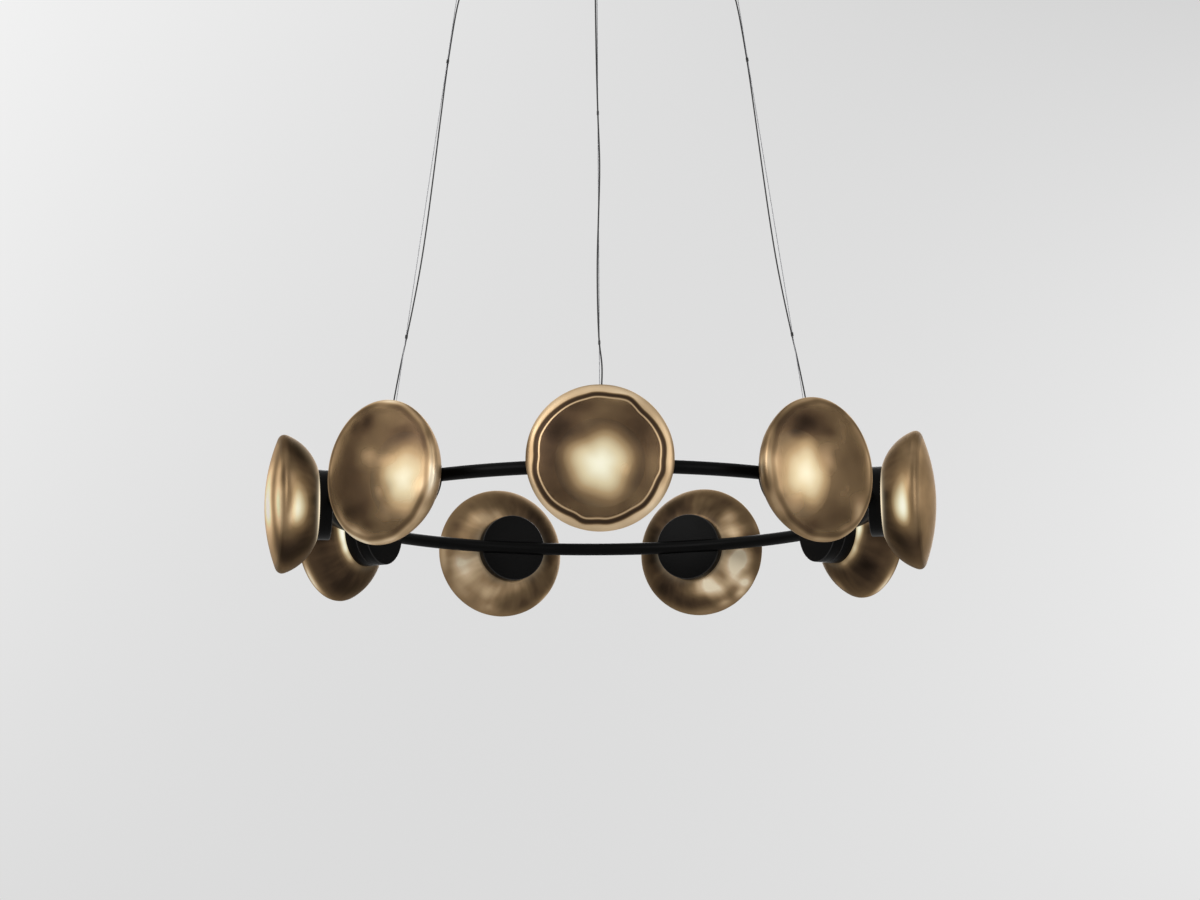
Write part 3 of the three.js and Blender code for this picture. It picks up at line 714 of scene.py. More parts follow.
class GlassLine:
    """The outer line of the glass from the middle of its face to its flange, by distance along it."""

    def __init__(self):
        self.face_centre = np.array([0, GLASS_APEX - FACE_RADIUS])
        rim_x = GLASS_RADIUS - RIM_RADIUS
        rise = math.sqrt((FACE_RADIUS - RIM_RADIUS) ** 2 - rim_x ** 2)
        self.rim_centre = np.array([rim_x, self.face_centre[1] + rise])
        self.bowl_centre = self.meet(self.rim_centre, BOWL_RADIUS - RIM_RADIUS,
                                     np.array([FLANGE_RADIUS, GLASS_SEAT]), BOWL_RADIUS)
        to_rim = self.rim_centre - self.face_centre
        self.face_angle = math.atan2(to_rim[1], to_rim[0])
        from_bowl = self.rim_centre - self.bowl_centre
        self.bowl_angle = math.atan2(from_bowl[1], from_bowl[0])
        self.flange_angle = -math.acos((FLANGE_RADIUS - self.bowl_centre[0]) / BOWL_RADIUS)
        self.face_length = FACE_RADIUS * (math.pi / 2 - self.face_angle)
        self.fold = self.face_length + RIM_RADIUS * self.face_angle
        self.rim_length = RIM_RADIUS * (self.face_angle - self.bowl_angle)
        self.length = self.face_length + self.rim_length + BOWL_RADIUS * (self.bowl_angle - self.flange_angle)

    def meet(self, a, radius_a, b, radius_b):
        """Where circles round a and b meet, on the side towards the axis."""
        apart = np.hypot(*(b - a))
        along = (radius_a ** 2 - radius_b ** 2 + apart ** 2) / (2 * apart)
        aside = math.sqrt(radius_a ** 2 - along ** 2)
        unit = (b - a) / apart
        foot = a + along * unit
        ends = [foot + sign * aside * np.array([-unit[1], unit[0]]) for sign in (-1, 1)]
        return min(ends, key=lambda end: end[0])

    def at(self, distance):
        """Radius, height and outward direction at each distance."""
        on_face = math.pi / 2 - distance / FACE_RADIUS
        on_rim = self.face_angle - (distance - self.face_length) / RIM_RADIUS
        on_bowl = self.bowl_angle - (distance - self.face_length - self.rim_length) / BOWL_RADIUS
        is_face = distance < self.face_length
        is_rim = distance < self.face_length + self.rim_length
        angle = np.where(is_face, on_face, np.where(is_rim, on_rim, on_bowl))
        radius = np.where(is_face, FACE_RADIUS, np.where(is_rim, RIM_RADIUS, BOWL_RADIUS))
        centre_x = np.where(is_face, 0, np.where(is_rim, self.rim_centre[0], self.bowl_centre[0]))
        centre_y = np.where(is_face, self.face_centre[1],
                            np.where(is_rim, self.rim_centre[1], self.bowl_centre[1]))
        out = np.stack([np.cos(angle), np.sin(angle)])
        return centre_x + radius * out[0], centre_y + radius * out[1], out


GLASS = GlassLine()

# The middle head's lip line: angle in degrees anticlockwise from the right, radius in mm
MIDDLE_LIP = [
    (12, 83.2), (48, 79), (63, 84.5), (79, 80.3), (96, 81.3), (103, 80), (132, 81.4), (161, 84.5),
    (180, 81.6), (193, 85.8), (222, 86.4), (246, 83), (255, 86.6), (268, 83.8), (276, 85.2), (300, 82.4),
    (311, 84), (336, 80.4), (346, 82.8), (355, 81),
]
SOFT_LIP_RADIUS = 92.5 * MM
SOFT_LIP_SAG = 1.2 * MM
SOFT_LIP_CORNERS = 13
TROUGH_DEPTH = 0.7 * MM
FOLD_RIPPLE = 0.15 * MM
INNER_ROWS = 13
CLEAR_SHARE = 0.93            # of the face's line, behind which the inner skin is uncoated
INSIDE_TONE = 0.22
LIP_SEED = 40
RIPPLE_SEED = 90
LAMP_SEED = 7

# The diffuser's outline in mm: radius, and depth outwards from the tube's centreline
DIFFUSER_LINE = [
    (0, 24.3), (60.5, 24.3), (61.6, 25), (60, 25.5), (55, 25.9), (50, 26.4), (46, 26.9), (42, 27.4),
    (37, 28.2), (32, 28.8), (26, 29.3), (20, 29.6), (13, 29.9), (6, 30), (0, 30),
]
DIFFUSER_SIDES = 72

# How bright the lamp is by distance from its middle, in mm
GLOW_BY_RADIUS = [(0, 0.88), (12, 0.8), (27, 0.64), (35, 0.52), (41, 0.41), (48, 0.26), (54, 0.1), (60, 0)]

# What is set for each head: how crisp its lip line is, the base tones of its face, of the rim round it and of
# its back, which differ from head to head with painted light and shade as well as with the glass's colour,
# and how bright a line of light leaks out beside its drum. Its tone patches are painted reflections and
# shading and its glows are painted light that shows through the bowl. Each of its tones, glows and dents is a
# place, a reach and an amount. Places and reaches are in mm along the ring, up and outwards from the tube's
# centreline. A dent's amount is its depth in mm. The lamp is how far its brightest place lies along the ring
# and up, in mm, and how bright it is.
Head = namedtuple("Head", "index lip face rim back tones glows dents lamp leak",
                  defaults=((), (), (), (0, 0, 1), 0.09))

HEADS = [
    Head(index=0, lip=1.0, face=0.3, rim=0.8, back=0.35, tones=(
        ((72, -10, 80), (14, 22, 30), 0.12), ((0, 62, 84), (34, 16, 30), 0.11),
        ((2, -70, 83), (48, 13, 30), 0.12), ((54, -58, 80), (20, 18, 30), 0.12),
        ((-54, 38, 84), (22, 22, 30), -0.2), ((52, 36, 84), (20, 20, 30), -0.06),
        ((-64, -4, 84), (18, 34, 30), -0.12), ((33, -20, 88), (10, 14, 20), 0.24),
        ((-100, 20, 68), (9, 44, 14), -0.34), ((100, 10, 68), (8, 50, 14), -0.14),
        ((28, 80, 77), (26, 9, 12), 0.18), ((-28, 66, 82), (20, 10, 14), -0.12),
        ((86, -26, 76), (8, 16, 10), -0.2),
    ), lamp=(0, -2, 1)),
    Head(index=1, lip=0.5, face=0.42, rim=0.6, back=0.35, tones=(
        ((-36, 61, 83), (26, 15, 30), -0.34), ((29, -68, 81), (30, 17, 30), -0.13),
        ((-20, -82, 77), (24, 10, 30), -0.1), ((-84, 42, 75), (14, 24, 20), 0.1),
        ((-94, -10, 73), (9, 34, 20), 0.35), ((62, -50, 80), (12, 14, 20), 0.12),
        ((-62, -56, 80), (16, 14, 20), 0.12), ((-84, 56, 70), (18, 30, 18), -0.26),
        ((-97, -20, 66), (8, 16, 14), -0.3), ((90, 36, 74), (10, 50, 16), 0.36),
        ((-84, -2, 76), (14, 16, 16), 0.06), ((-8, 18, 88), (14, 14, 20), 0.16),
        ((-6, 93, 74), (40, 8, 14), 0.15), ((44, -82, 76), (20, 10, 14), 0.22),
        ((-84, -34, 76), (10, 14, 14), 0.18), ((72, 62, 72), (20, 26, 12), 0.18),
        ((-52, 44, 82), (12, 10, 12), -0.22), ((3, 50, 86), (16, 8, 12), -0.14),
        ((-95, 24, 66), (8, 14, 14), -0.24), ((-95, -35, 69), (8, 12, 10), -0.3),
        ((-98, -8, 56), (6, 18, 6), 0.25), ((-3, 4, 91), (14, 10, 8), 0.16),
        ((68, -58, 75), (20, 24, 12), 0.32), ((55, 82, 72), (12, 8, 10), 0.3),
        ((-4, -94, 74), (16, 8, 10), 0.16), ((-65, -76, 68), (12, 12, 10), -0.16),
        ((-97, -12, 56), (6, 14, 6), 0.15),
    ), lamp=(11, 1, 0.92)),
    Head(index=2, lip=0.0, face=0.48, rim=0.42, back=0.3, tones=(
        ((-92, -15, 74), (10, 60, 12), 0.14), ((-70, 62, 70), (20, 16, 16), 0.12),
        ((-33, -78, 78), (30, 18, 20), -0.08), ((-46, -86, 57), (22, 22, 18), -0.12),
        ((-62, -66, 45), (22, 20, 16), -0.24), ((-75, 61, 56), (18, 18, 16), 0.1),
        ((-99, -15, 65), (3, 60, 4), -0.06), ((-72, -9, 26), (10, 30, 10), 0.06),
        ((-99, -5, 60), (5, 28, 6), 0.18), ((-46, -38, 20), (14, 16, 10), -0.16),
        ((-64, -66, 72), (14, 16, 14), -0.18),
    ), glows=(
        ((-94, -21, 54), (12, 44, 10), 0.76), ((-86, -24, 42), (12, 44, 12), 0.48),
    ), leak=1.25),
    Head(index=3, lip=0.0, face=0.35, rim=0.4, back=0.22, tones=(
        ((-50, -88, 66), (40, 34, 5), 0.62), ((-49, -62, 32), (20, 16, 16), -0.14),
        ((-69, -61, 46), (14, 14, 14), 0.06), ((-94, 10, 52), (12, 26, 12), 0.16),
        ((-64, 10, 24), (14, 18, 10), 0.17), ((30, -80, 40), (14, 14, 14), 0.36),
        ((-98, 3, 58), (6, 14, 10), 0.16),
    ), glows=(
        ((-57, -2, 18), (8, 14, 7), 0.8), ((-52, -18, 17), (8, 12, 7), 0.45),
        ((-44, -33, 17), (9, 11, 6), 0.5), ((-32, -43, 17), (12, 9, 6), 0.42),
        ((-14, -52, 18), (14, 8, 6), 0.36),
    ), leak=0.1),
    Head(index=4, lip=0.0, face=0.35, rim=0.45, back=0.3, tones=(
        ((-75, -22, 32), (15, 22, 18), 0.5), ((-60, 51, 31), (13, 18, 14), 0.33),
        ((-58, -26, 30), (20, 24, 22), 0.4), ((-22, -55, 24), (18, 13, 14), 0.49),
        ((-78, -54, 50), (12, 10, 16), 0.65), ((-45, 34, 26), (16, 16, 16), 0.28),
        ((-14, 70, 32), (22, 16, 16), 0.16), ((74, 34, 40), (16, 26, 20), -0.13),
        ((58, -38, 34), (22, 16, 18), 0.13), ((0, -92, 56), (70, 12, 16), 0.12),
        ((-80, 30, 40), (10, 10, 12), 0.14), ((-40, -66, 30), (16, 12, 14), 0.5),
        ((-19, -69, 26), (14, 9, 12), 0.32), ((-68, -70, 56), (11, 10, 12), 0.5),
        ((-43, -85, 51), (11, 8, 10), 0.34), ((-97, 5, 56), (8, 22, 16), -0.18),
        ((62, 9, 21), (26, 36, 22), -0.28), ((37, 69, 32), (24, 18, 18), -0.18),
        ((11, -87, 40), (22, 12, 18), -0.16), ((50, -62, 32), (24, 22, 18), -0.16),
        ((-86, -44, 52), (9, 9, 12), 0.12), ((-66, 22, 25), (16, 12, 12), 0.42),
        ((-41, 37, 18), (10, 8, 8), -0.22), ((-74, -14, 33), (22, 22, 18), 0.36),
        ((-62, -50, 33), (12, 18, 12), 0.3), ((0, -66, 24), (22, 14, 12), 0.22),
        ((-34, -76, 36), (12, 8, 10), 0.2), ((-26, -50, 18), (20, 12, 8), 0.24),
        ((-93, 32, 60), (6, 16, 8), 0.16),
    ), dents=(
        ((-66, -75, 56), (10, 8, 9), 2.6), ((-44, -88, 55), (9, 7, 8), 2.2),
        ((-88, -45, 57), (8, 10, 9), 1.8), ((-18, -95, 55), (10, 7, 8), 1.5),
        ((-97, -12, 58), (8, 12, 9), 1.2),
    )),
    Head(index=5, lip=0.0, face=0.35, rim=0.5, back=0.34, tones=(
        ((62, -42, 30), (26, 24, 20), 0.36), ((71, -63, 52), (24, 20, 18), 0.18),
        ((26, -89, 48), (28, 12, 18), 0.22), ((66, -8, 24), (18, 20, 14), 0.18),
        ((54, 45, 27), (20, 18, 14), 0.26), ((-60, 22, 24), (20, 30, 16), -0.25),
        ((0, -64, 21), (20, 9, 10), 0.08), ((-66, -24, 26), (16, 14, 14), -0.06),
        ((74, -24, 38), (20, 24, 20), 0.44), ((32, 44, 25), (16, 22, 14), 0.3),
        ((26, -64, 32), (24, 16, 18), 0.42), ((-8, -54, 22), (20, 10, 12), 0.22),
        ((34, -22, 20), (12, 16, 8), 0.2), ((-58, -22, 24), (14, 18, 12), 0.14),
        ((-46, 56, 32), (26, 24, 20), -0.25), ((-70, -66, 62), (14, 18, 10), 0.4),
        ((96, -10, 58), (6, 40, 12), 0.25), ((18, 56, 20), (12, 12, 10), 0.2),
        ((54, -18, 19), (12, 14, 8), 0.26), ((82, -12, 35), (10, 12, 10), 0.16),
        ((-80, -20, 35), (8, 10, 8), 0.16),
    )),
    Head(index=6, lip=0.0, face=0.35, rim=0.4, back=0.2, tones=(
        ((66, -76, 66), (40, 34, 5), 0.68), ((24, -86, 44), (24, 16, 18), -0.13),
        ((-10, -78, 31), (20, 16, 16), -0.05), ((42, 46, 21), (20, 18, 12), 0.2),
        ((72, 38, 36), (14, 16, 12), 0.2),
    ), glows=(
        ((57, 2, 18), (9, 14, 7), 0.8), ((53, -14, 17), (9, 12, 7), 0.7), ((46, -29, 17), (10, 11, 6), 0.74),
        ((34, -42, 17), (12, 9, 6), 0.5), ((16, -52, 18), (14, 8, 6), 0.22),
    ), leak=0.1),
    Head(index=7, lip=0.0, face=0.46, rim=0.4, back=0.3, tones=(
        ((30, -3, 90), (44, 60, 20), 0.55), ((78, -11, 80), (22, 50, 12), 0.34),
        ((55, -75, 74), (26, 20, 14), -0.22), ((52, -83, 57), (22, 22, 18), -0.24),
        ((53, -67, 38), (22, 20, 16), -0.2), ((97, 24, 60), (14, 14, 10), 0.16),
        ((99, -14, 66), (3, 60, 4), -0.05), ((72, -9, 26), (10, 30, 10), 0.12),
        ((60, -62, 82), (30, 20, 14), -0.14), ((92, 28, 74), (10, 18, 8), -0.2),
        ((70, 62, 38), (18, 16, 14), -0.2), ((54, 66, 50), (20, 26, 24), -0.42),
        ((58, -4, 83), (12, 64, 8), -0.4), ((96, -28, 61), (8, 34, 6), 0.5),
        ((60, 32, 26), (12, 18, 10), -0.26),
    ), glows=(
        ((95, -21, 54), (12, 40, 10), 0.72), ((86, -20, 42), (12, 40, 11), 0.4),
    ), leak=1.3),
    Head(index=8, lip=0.5, face=0.37, rim=0.66, back=0.35, tones=(
        ((89, 40, 71), (9, 20, 10), -0.2), ((86, -50, 69), (9, 14, 10), -0.17),
        ((-42, -80, 76), (14, 8, 10), 0.16), ((-53, -54, 80), (12, 12, 12), -0.14),
        ((-46, 6, 87), (22, 34, 30), -0.12), ((-27, -54, 85), (22, 17, 30), -0.22),
        ((-64, -33, 81), (18, 20, 30), -0.1), ((-14, 58, 85), (24, 14, 30), -0.08),
        ((22, 76, 79), (24, 11, 30), 0.1), ((24, -60, 81), (28, 18, 30), 0.14),
        ((58, 46, 82), (20, 14, 30), -0.16), ((96, -8, 73), (10, 26, 16), 0.42),
        ((24, 94, 72), (28, 8, 12), 0.24), ((-54, 72, 73), (24, 24, 12), 0.2),
        ((-44, -82, 72), (36, 20, 14), 0.34), ((-2, 20, 90), (16, 12, 20), 0.24),
        ((16, -32, 88), (9, 10, 20), 0.18), ((84, -31, 76), (12, 16, 16), 0.42),
        ((34, -24, 88), (7, 8, 16), -0.16), ((56, -58, 80), (14, 14, 16), 0.16),
        ((-14, 70, 82), (12, 10, 12), -0.18), ((-14, -74, 80), (16, 8, 14), -0.14),
        ((80, -57, 71), (18, 14, 20), 0.1), ((4, 95, 73), (20, 7, 10), 0.19),
        ((-78, 34, 77), (18, 26, 12), 0.22), ((-72, -52, 76), (16, 22, 12), 0.2),
        ((-20, -95, 73), (34, 8, 12), 0.24), ((22, -94, 72), (14, 8, 10), 0.2),
        ((101, 7, 68), (5, 16, 8), -0.24), ((-38, 66, 81), (10, 10, 10), -0.18),
        ((26, 10, 90), (24, 12, 10), 0.15), ((-66, -66, 76), (14, 16, 10), 0.18),
        ((-90, 14, 75), (8, 16, 8), 0.22),
    ), lamp=(7, -4, 0.92)),
]

# Where the glass's rows of points lie: as shares of the way to the lip line, close together on both sides of
# it, then of the way on to the fold, and then of the way to the flange
FACE_SHARES = [
    0.03, 0.08, 0.14, 0.2, 0.26, 0.32, 0.38, 0.44, 0.5, 0.56, 0.62, 0.68, 0.74, 0.8, 0.85, 0.89, 0.92, 0.94,
    0.956, 0.968, 0.978, 0.986, 0.994, 1.0, 1.006, 1.014, 1.022, 1.032, 1.044, 1.056, 1.068, 1.08, 1.092,
    1.105,
]
FOLD_SHARES = [0.2, 0.4, 0.6, 0.8, 1.0]
BACK_SHARES = [
    0.04, 0.08, 0.12, 0.16, 0.2, 0.25, 0.3, 0.36, 0.42, 0.5, 0.58, 0.66, 0.74, 0.82, 0.87, 0.91, 0.94, 0.965,
    0.985, 1.0,
]


def lip_distance(head, turn):
    """Distance from the middle of the face to the lip line, round the glass."""
    if head.index == 0:
        angles = np.radians([angle for angle, _ in MIDDLE_LIP])
        radius = np.interp(turn, angles, [r * MM for _, r in MIDDLE_LIP], period=math.tau)
    else:
        rng = np.random.default_rng(LIP_SEED + head.index)
        count = SOFT_LIP_CORNERS
        corners = np.sort(np.arange(count) / count + rng.uniform(-0.02, 0.02, count)) * math.tau
        radius = np.interp(turn, corners, SOFT_LIP_RADIUS + rng.uniform(-1, 1, count) * MM, period=math.tau)
        radius = radius - SOFT_LIP_SAG * np.abs(np.sin(count * turn / 2 + rng.uniform(0, 6)))
    smooth = [np.roll(radius, shift) for shift in (-1, 0, 1)]
    return FACE_RADIUS * np.arcsin(np.mean(smooth, axis=0) / FACE_RADIUS)


def ripple(turn, seed):
    """A gentle wave round the glass, from -1 to 1."""
    rng = np.random.default_rng(seed)
    wave = sum(rng.uniform(0.5, 1) * np.cos(n * turn + rng.uniform(0, math.tau)) for n in (3, 5, 8, 13))
    return wave / np.abs(wave).max()


def hump(value, middle, reach):
    """1 at the middle, fading with distance from it."""
    return np.exp(-((value - middle) / reach) ** 2)


def felt(patches, local):
    """The sum at each point, in metres, of patches that each fade with distance from their place."""
    total = np.zeros(local.shape[:-1])
    for place, reach, amount in patches:
        apart = (local - np.array(place) * MM) / (np.array(reach) * MM)
        total += amount * np.exp(-(apart ** 2).sum(axis=-1))
    return total


def make_glass(head):
    """One blown glass as a closed shell: its outer skin row by row, its mouth and a plain inner skin."""
    turn = np.arange(GLASS_COLUMNS) * math.tau / GLASS_COLUMNS
    round_it = np.zeros(GLASS_COLUMNS)      # added to a number, it repeats the number round the glass
    lip = lip_distance(head, turn)
    rows = [(share, share * lip) for share in FACE_SHARES]
    share, line = rows[-1]
    rows += [(share + (2 - share) * t, line + (GLASS.fold - line) * t) for t in FOLD_SHARES]
    rows += [(2 + t, GLASS.fold + (GLASS.length - GLASS.fold) * t + round_it) for t in BACK_SHARES]
    zones = np.array([zone for zone, _ in rows])[:, None] + round_it
    radius, height, out = GLASS.at(np.array([distance for _, distance in rows]))
    sink = TROUGH_DEPTH * head.lip * hump(zones, 1.058, 0.035)
    sink += hump(zones, 1.9, 0.45) * FOLD_RIPPLE * (1 + ripple(turn, RIPPLE_SEED + head.index))
    place = np.stack([radius * np.cos(turn), radius * np.sin(turn), height], axis=-1)
    sink += felt(head.dents, place) * MM
    rings = list(zip(zones, radius - sink * out[0], height - sink * out[1]))

    seat_top = GLASS_SEAT + GLASS_WALL
    for r, h in ((GLASS_MOUTH + MM, GLASS_SEAT), (GLASS_MOUTH, GLASS_SEAT + MM), (GLASS_MOUTH, seat_top)):
        rings.append((MOUTH_ZONE + round_it, r + round_it, h + round_it))
    inner_line = np.linspace(GLASS.length, 0, INNER_ROWS + 1)[:-1]
    inner_zone = np.where(inner_line < CLEAR_SHARE * GLASS.face_length, CLEAR_ZONE, INNER_ZONE)
    radius, height, out = GLASS.at(inner_line)
    height = np.maximum(height - GLASS_WALL * out[1], seat_top)
    for z, r, h in zip(inner_zone, radius - GLASS_WALL * out[0], height):
        rings.append((z + round_it, r + round_it, h + round_it))

    first = (0.0, 0.0, GLASS_APEX)
    last = (CLEAR_ZONE, 0.0, GLASS_APEX - GLASS_WALL)
    zone, reach, depth = (np.concatenate([[first[i]], *(ring[i] for ring in rings), [last[i]]])
                          for i in range(3))
    around = np.concatenate([[0.0]] + [turn] * len(rings) + [[0.0]])
    local = np.stack([reach * np.cos(around), reach * np.sin(around), depth], axis=1)
    matrix = np.array(head_matrix(head.index * HEAD_STEP))
    placed = local @ matrix[:3, :3].T + matrix[:3, 3]
    mesh = mesh_of(f"glass_{head.index + 1}", placed.tolist(), ring_faces(len(rings), len(turn)))
    paint_glass(mesh, head, local, zone, reach, around)
    return mesh


def ring_faces(rings, columns):
    """Faces of a closed body from a first point, rings of points and a last point."""
    faces = [[0, 1 + k, 1 + (k + 1) % columns] for k in range(columns)]
    for row in range(rings - 1):
        a, b = 1 + row * columns, 1 + (row + 1) * columns
        faces += [[a + k, b + k, b + (k + 1) % columns, a + (k + 1) % columns] for k in range(columns)]
    end, last = 1 + rings * columns, 1 + (rings - 1) * columns
    faces += [[last + (k + 1) % columns, last + k, end] for k in range(columns)]
    return faces


def paint_glass(mesh, head, local, zone, reach, around):
    """The painted values that the glass's finish reads."""
    on_back = np.clip((zone - 2.0) / 0.4, 0, 1)
    on_rim = np.clip((zone - 1 - 0.06 * head.lip) / 0.05, 0, 1)
    # The tone holds painted reflections and shading as well as the glass's colour; the glow is painted light
    # on the outer bowl and on the inner skin round the lamp.
    tone = head.face + (head.rim - head.face) * on_rim
    tone += (head.back - tone) * on_back + felt(head.tones, local)
    within = zone > 3
    cover = FACE_COVER + (1 - FACE_COVER) * np.clip((zone - 0.96) / 0.03, 0, 1)
    beside_drum = np.exp(-np.clip((reach - FLANGE_RADIUS) / (6 * MM), 0, 9) ** 1.4)
    beside_drum = beside_drum * (zone > 2) * (zone < 3.05)
    near_middle = hump(local[:, 1], -8 * MM, 42 * MM)
    offset = np.array([0.37, 0.21, 0.53]) * head.index
    set_values(mesh, {
        "zone": zone,
        "lip": np.full(len(zone), head.lip),
        "tone": np.where(within, INSIDE_TONE, tone),
        "glow": np.clip(np.where(within, inner_glow(reach), felt(head.glows, local)), 0, 1),
        "cover": np.where(zone == CLEAR_ZONE, 0.0, cover),
        "leak": beside_drum * head.leak * near_middle,
        "form": local + offset,
        "spokes": np.stack([np.cos(around), np.sin(around), reach * 5], axis=1) + offset,
    })


def inner_glow(reach):
    """How bright the lamp makes what lies this far from the head's axis."""
    radius, level = zip(*GLOW_BY_RADIUS)
    return np.interp(reach / MM, radius, level)


def make_lamp(head):
    """The diffuser over the board, brighter in a few soft lobes."""
    mesh = revolved("lamp", in_mm(DIFFUSER_LINE), DIFFUSER_SIDES)
    local = np.empty(len(mesh.vertices) * 3)
    mesh.vertices.foreach_get("co", local)
    x, y, _ = local.reshape(-1, 3).T
    middle_x, middle_y, level = head.lamp
    x, y = x - middle_x * MM, y - middle_y * MM
    angle = np.arctan2(y, x)
    rng = np.random.default_rng(LAMP_SEED + head.index)
    lobes = 1 + 0.07 * np.cos(3 * angle + rng.uniform(0, 6)) + 0.05 * np.cos(5 * angle + rng.uniform(0, 6))
    set_values(mesh, {"glow": np.clip(level * inner_glow(np.hypot(x, y) / lobes), 0, 1)})
    mesh.transform(head_matrix(head.index * HEAD_STEP))
    return mesh


def set_values(mesh, table):
    """Attributes with a number or a vector for each vertex."""
    for name, values in table.items():
        values = np.asarray(values, np.float32)
        kind, field = ("FLOAT", "value") if values.ndim == 1 else ("FLOAT_VECTOR", "vector")
        mesh.attributes.new(name, kind, "POINT").data.foreach_set(field, values.ravel())


# Drums

def saddle_cutter(azimuth):
    """The tube's room across a drum: a bent bar a clearance thicker than the tube."""
    half_turn = SADDLE_OVERRUN * DRUM_RADIUS / RING_RADIUS
    steps = SADDLE_STEPS
    turns = [azimuth - half_turn + 2 * half_turn * i / steps for i in range(steps + 1)]
    path = [(RING_RADIUS * math.sin(t), -RING_RADIUS * math.cos(t), RING_Z) for t in turns]
    return swept("saddle", path, TUBE_RADIUS + TUBE_CLEARANCE, SADDLE_SIDES)


def make_drum(azimuth, back, front, middle):
    """A drum with rounded rims and the tube's saddle. The middle of its front is the end of its profile."""
    inset = DRUM_RADIUS - DRUM_EDGE
    profile = [(0, back)]
    profile += arc((inset, back + DRUM_EDGE), DRUM_EDGE, -90, 0, 3)
    profile += arc((inset, front - DRUM_EDGE), DRUM_EDGE, 0, 90, 3)
    drum = revolved("drum", profile + middle, DRUM_SIDES, head_matrix(azimuth))
    return with_highlit_rims(cut_from(drum, saddle_cutter(azimuth)), azimuth, (back, front))


def make_housing(azimuth):
    """A drum with the boss that its lamp sits on."""
    boss = [(BOSS_RADIUS, HOUSING_FRONT), (BOSS_RADIUS, BOSS_TOP), (0, BOSS_TOP)]
    return make_drum(azimuth, HOUSING_BACK, HOUSING_FRONT, boss)


def make_hub(azimuth):
    return make_drum(azimuth, HUB_BACK, HUB_FRONT, [(0, HUB_FRONT)])


def with_highlit_rims(mesh, azimuth, rims):
    """Marks the rounded rims, where a lighter colour is painted on as a highlight."""
    inverse = head_matrix(azimuth).inverted()
    local = np.array([inverse @ vertex.co for vertex in mesh.vertices])
    past = np.clip((np.hypot(local[:, 0], local[:, 1]) - DRUM_RADIUS) / DRUM_EDGE + 1, 0, 1)
    near = sum(np.clip(1 - np.abs(local[:, 2] - rim) / DRUM_EDGE, 0, 1) for rim in rims)
    set_values(mesh, {"rim_highlight": 2 * past * near})
    return mesh


def make_collar(azimuth):
    """The oblong gland on a hub, with its holes for the rope and the lead."""
    outline = [(x, LEAD_OFFSET + y) for x, y in arc((0, 0), COLLAR_RADIUS, 0, 180, 12)]
    outline += [(x, ROPE_OFFSET + y) for x, y in arc((0, 0), COLLAR_RADIUS, 180, 360, 12)]
    matrix = head_matrix(azimuth)
    points = [matrix @ Vector((x, level, s)) for level in (COLLAR_BASE, COLLAR_TOP) for x, s in outline]
    block = mesh_of("collar", points, [face[::-1] for face in stack_faces(2, len(outline))])
    turn = Matrix.Rotation(azimuth, 4, "Z")
    # The cutters run from inside the collar to above its top
    rope_line = [turn @ rope_matrix(0) @ Vector((0, 0, -ROPE_RUN + d * MM)) for d in (2, 12)]
    lead_line = [matrix @ Vector((0, y * MM, LEAD_OFFSET)) for y in (50, 60)]
    holes = [swept("hole", line, radius + SWAY_CLEARANCE, 20)
             for line, radius in ((rope_line, ROPE_RADIUS), (lead_line, LEAD_RADIUS))]

    def rounded(piece):
        modifier = piece.modifiers.new("edge", "BEVEL")
        modifier.width = COLLAR_EDGE
        modifier.segments = 2
        modifier.angle_limit = math.radians(50)

    return cut_from(with_modifiers(block, rounded), *holes)


# Suspension

def catmull_rom(points, steps):
    """A smooth line through the points, the centripetal kind."""
    points = [Vector(p) for p in points]
    points = [2 * points[0] - points[1]] + points + [2 * points[-1] - points[-2]]
    line = []
    for i in range(1, len(points) - 2):
        a, b, c, d = points[i - 1:i + 3]
        knots = [0.0]
        for p, q in ((a, b), (b, c), (c, d)):
            knots.append(knots[-1] + max((q - p).length, 1e-9) ** 0.5)
        for s in range(steps):
            t = knots[1] + (knots[2] - knots[1]) * s / steps
            ab = a.lerp(b, (t - knots[0]) / (knots[1] - knots[0]))
            bc = b.lerp(c, (t - knots[1]) / (knots[2] - knots[1]))
            cd = c.lerp(d, (t - knots[2]) / (knots[3] - knots[2]))
            abc = ab.lerp(bc, (t - knots[0]) / (knots[2] - knots[0]))
            bcd = bc.lerp(cd, (t - knots[1]) / (knots[3] - knots[1]))
            line.append(abc.lerp(bcd, (t - knots[1]) / (knots[2] - knots[1])))
    return line + [points[-2]]


def lead_height(share):
    """The height of a point a share of the way up a lead."""
    low = RING_Z + COLLAR_TOP - SEAT_DEPTH + MM
    high = -CANOPY_HEIGHT + CANOPY_WALL + LEAD_END_RISE
    return low + share * (high - low)


def beside_rope(z, aside=0, out=0):
    """A point at a height, in mm to the side of the front rope and outwards from it."""
    return Vector((aside * MM, -(FOOT_RADIUS - (z - FOOT_Z) * math.tan(ROPE_LEAN)) - out * MM, z))


def lead_route(index):
    """Rows of share, distance out and distance aside. The third lead mirrors the second."""
    route = SIDE_LEAD_ROUTE if index else FRONT_LEAD_ROUTE
    side = -1 if index == 2 else 1
    return [(share, out, side * aside) for share, out, aside in route]


def lead_path(index):
    """A lead's line from its hub to the canopy, on one smooth curve through its chosen points."""
    foot, head = RING_RADIUS + LEAD_OFFSET, BALL_CIRCLE - LEAD_INSET
    points = [(0, -foot, lead_height(0)), (0, -foot, lead_height(LEAD_STRAIGHT))]
    points += [beside_rope(lead_height(share), aside, out) for share, out, aside in lead_route(index)]
    points += [(0, -head, lead_height(1 - LEAD_STRAIGHT)), (0, -head, lead_height(1))]
    turn = Matrix.Rotation(index * ROPE_STEP, 4, "Z")
    return [turn @ p for p in catmull_rom(points, LEAD_STEPS)]


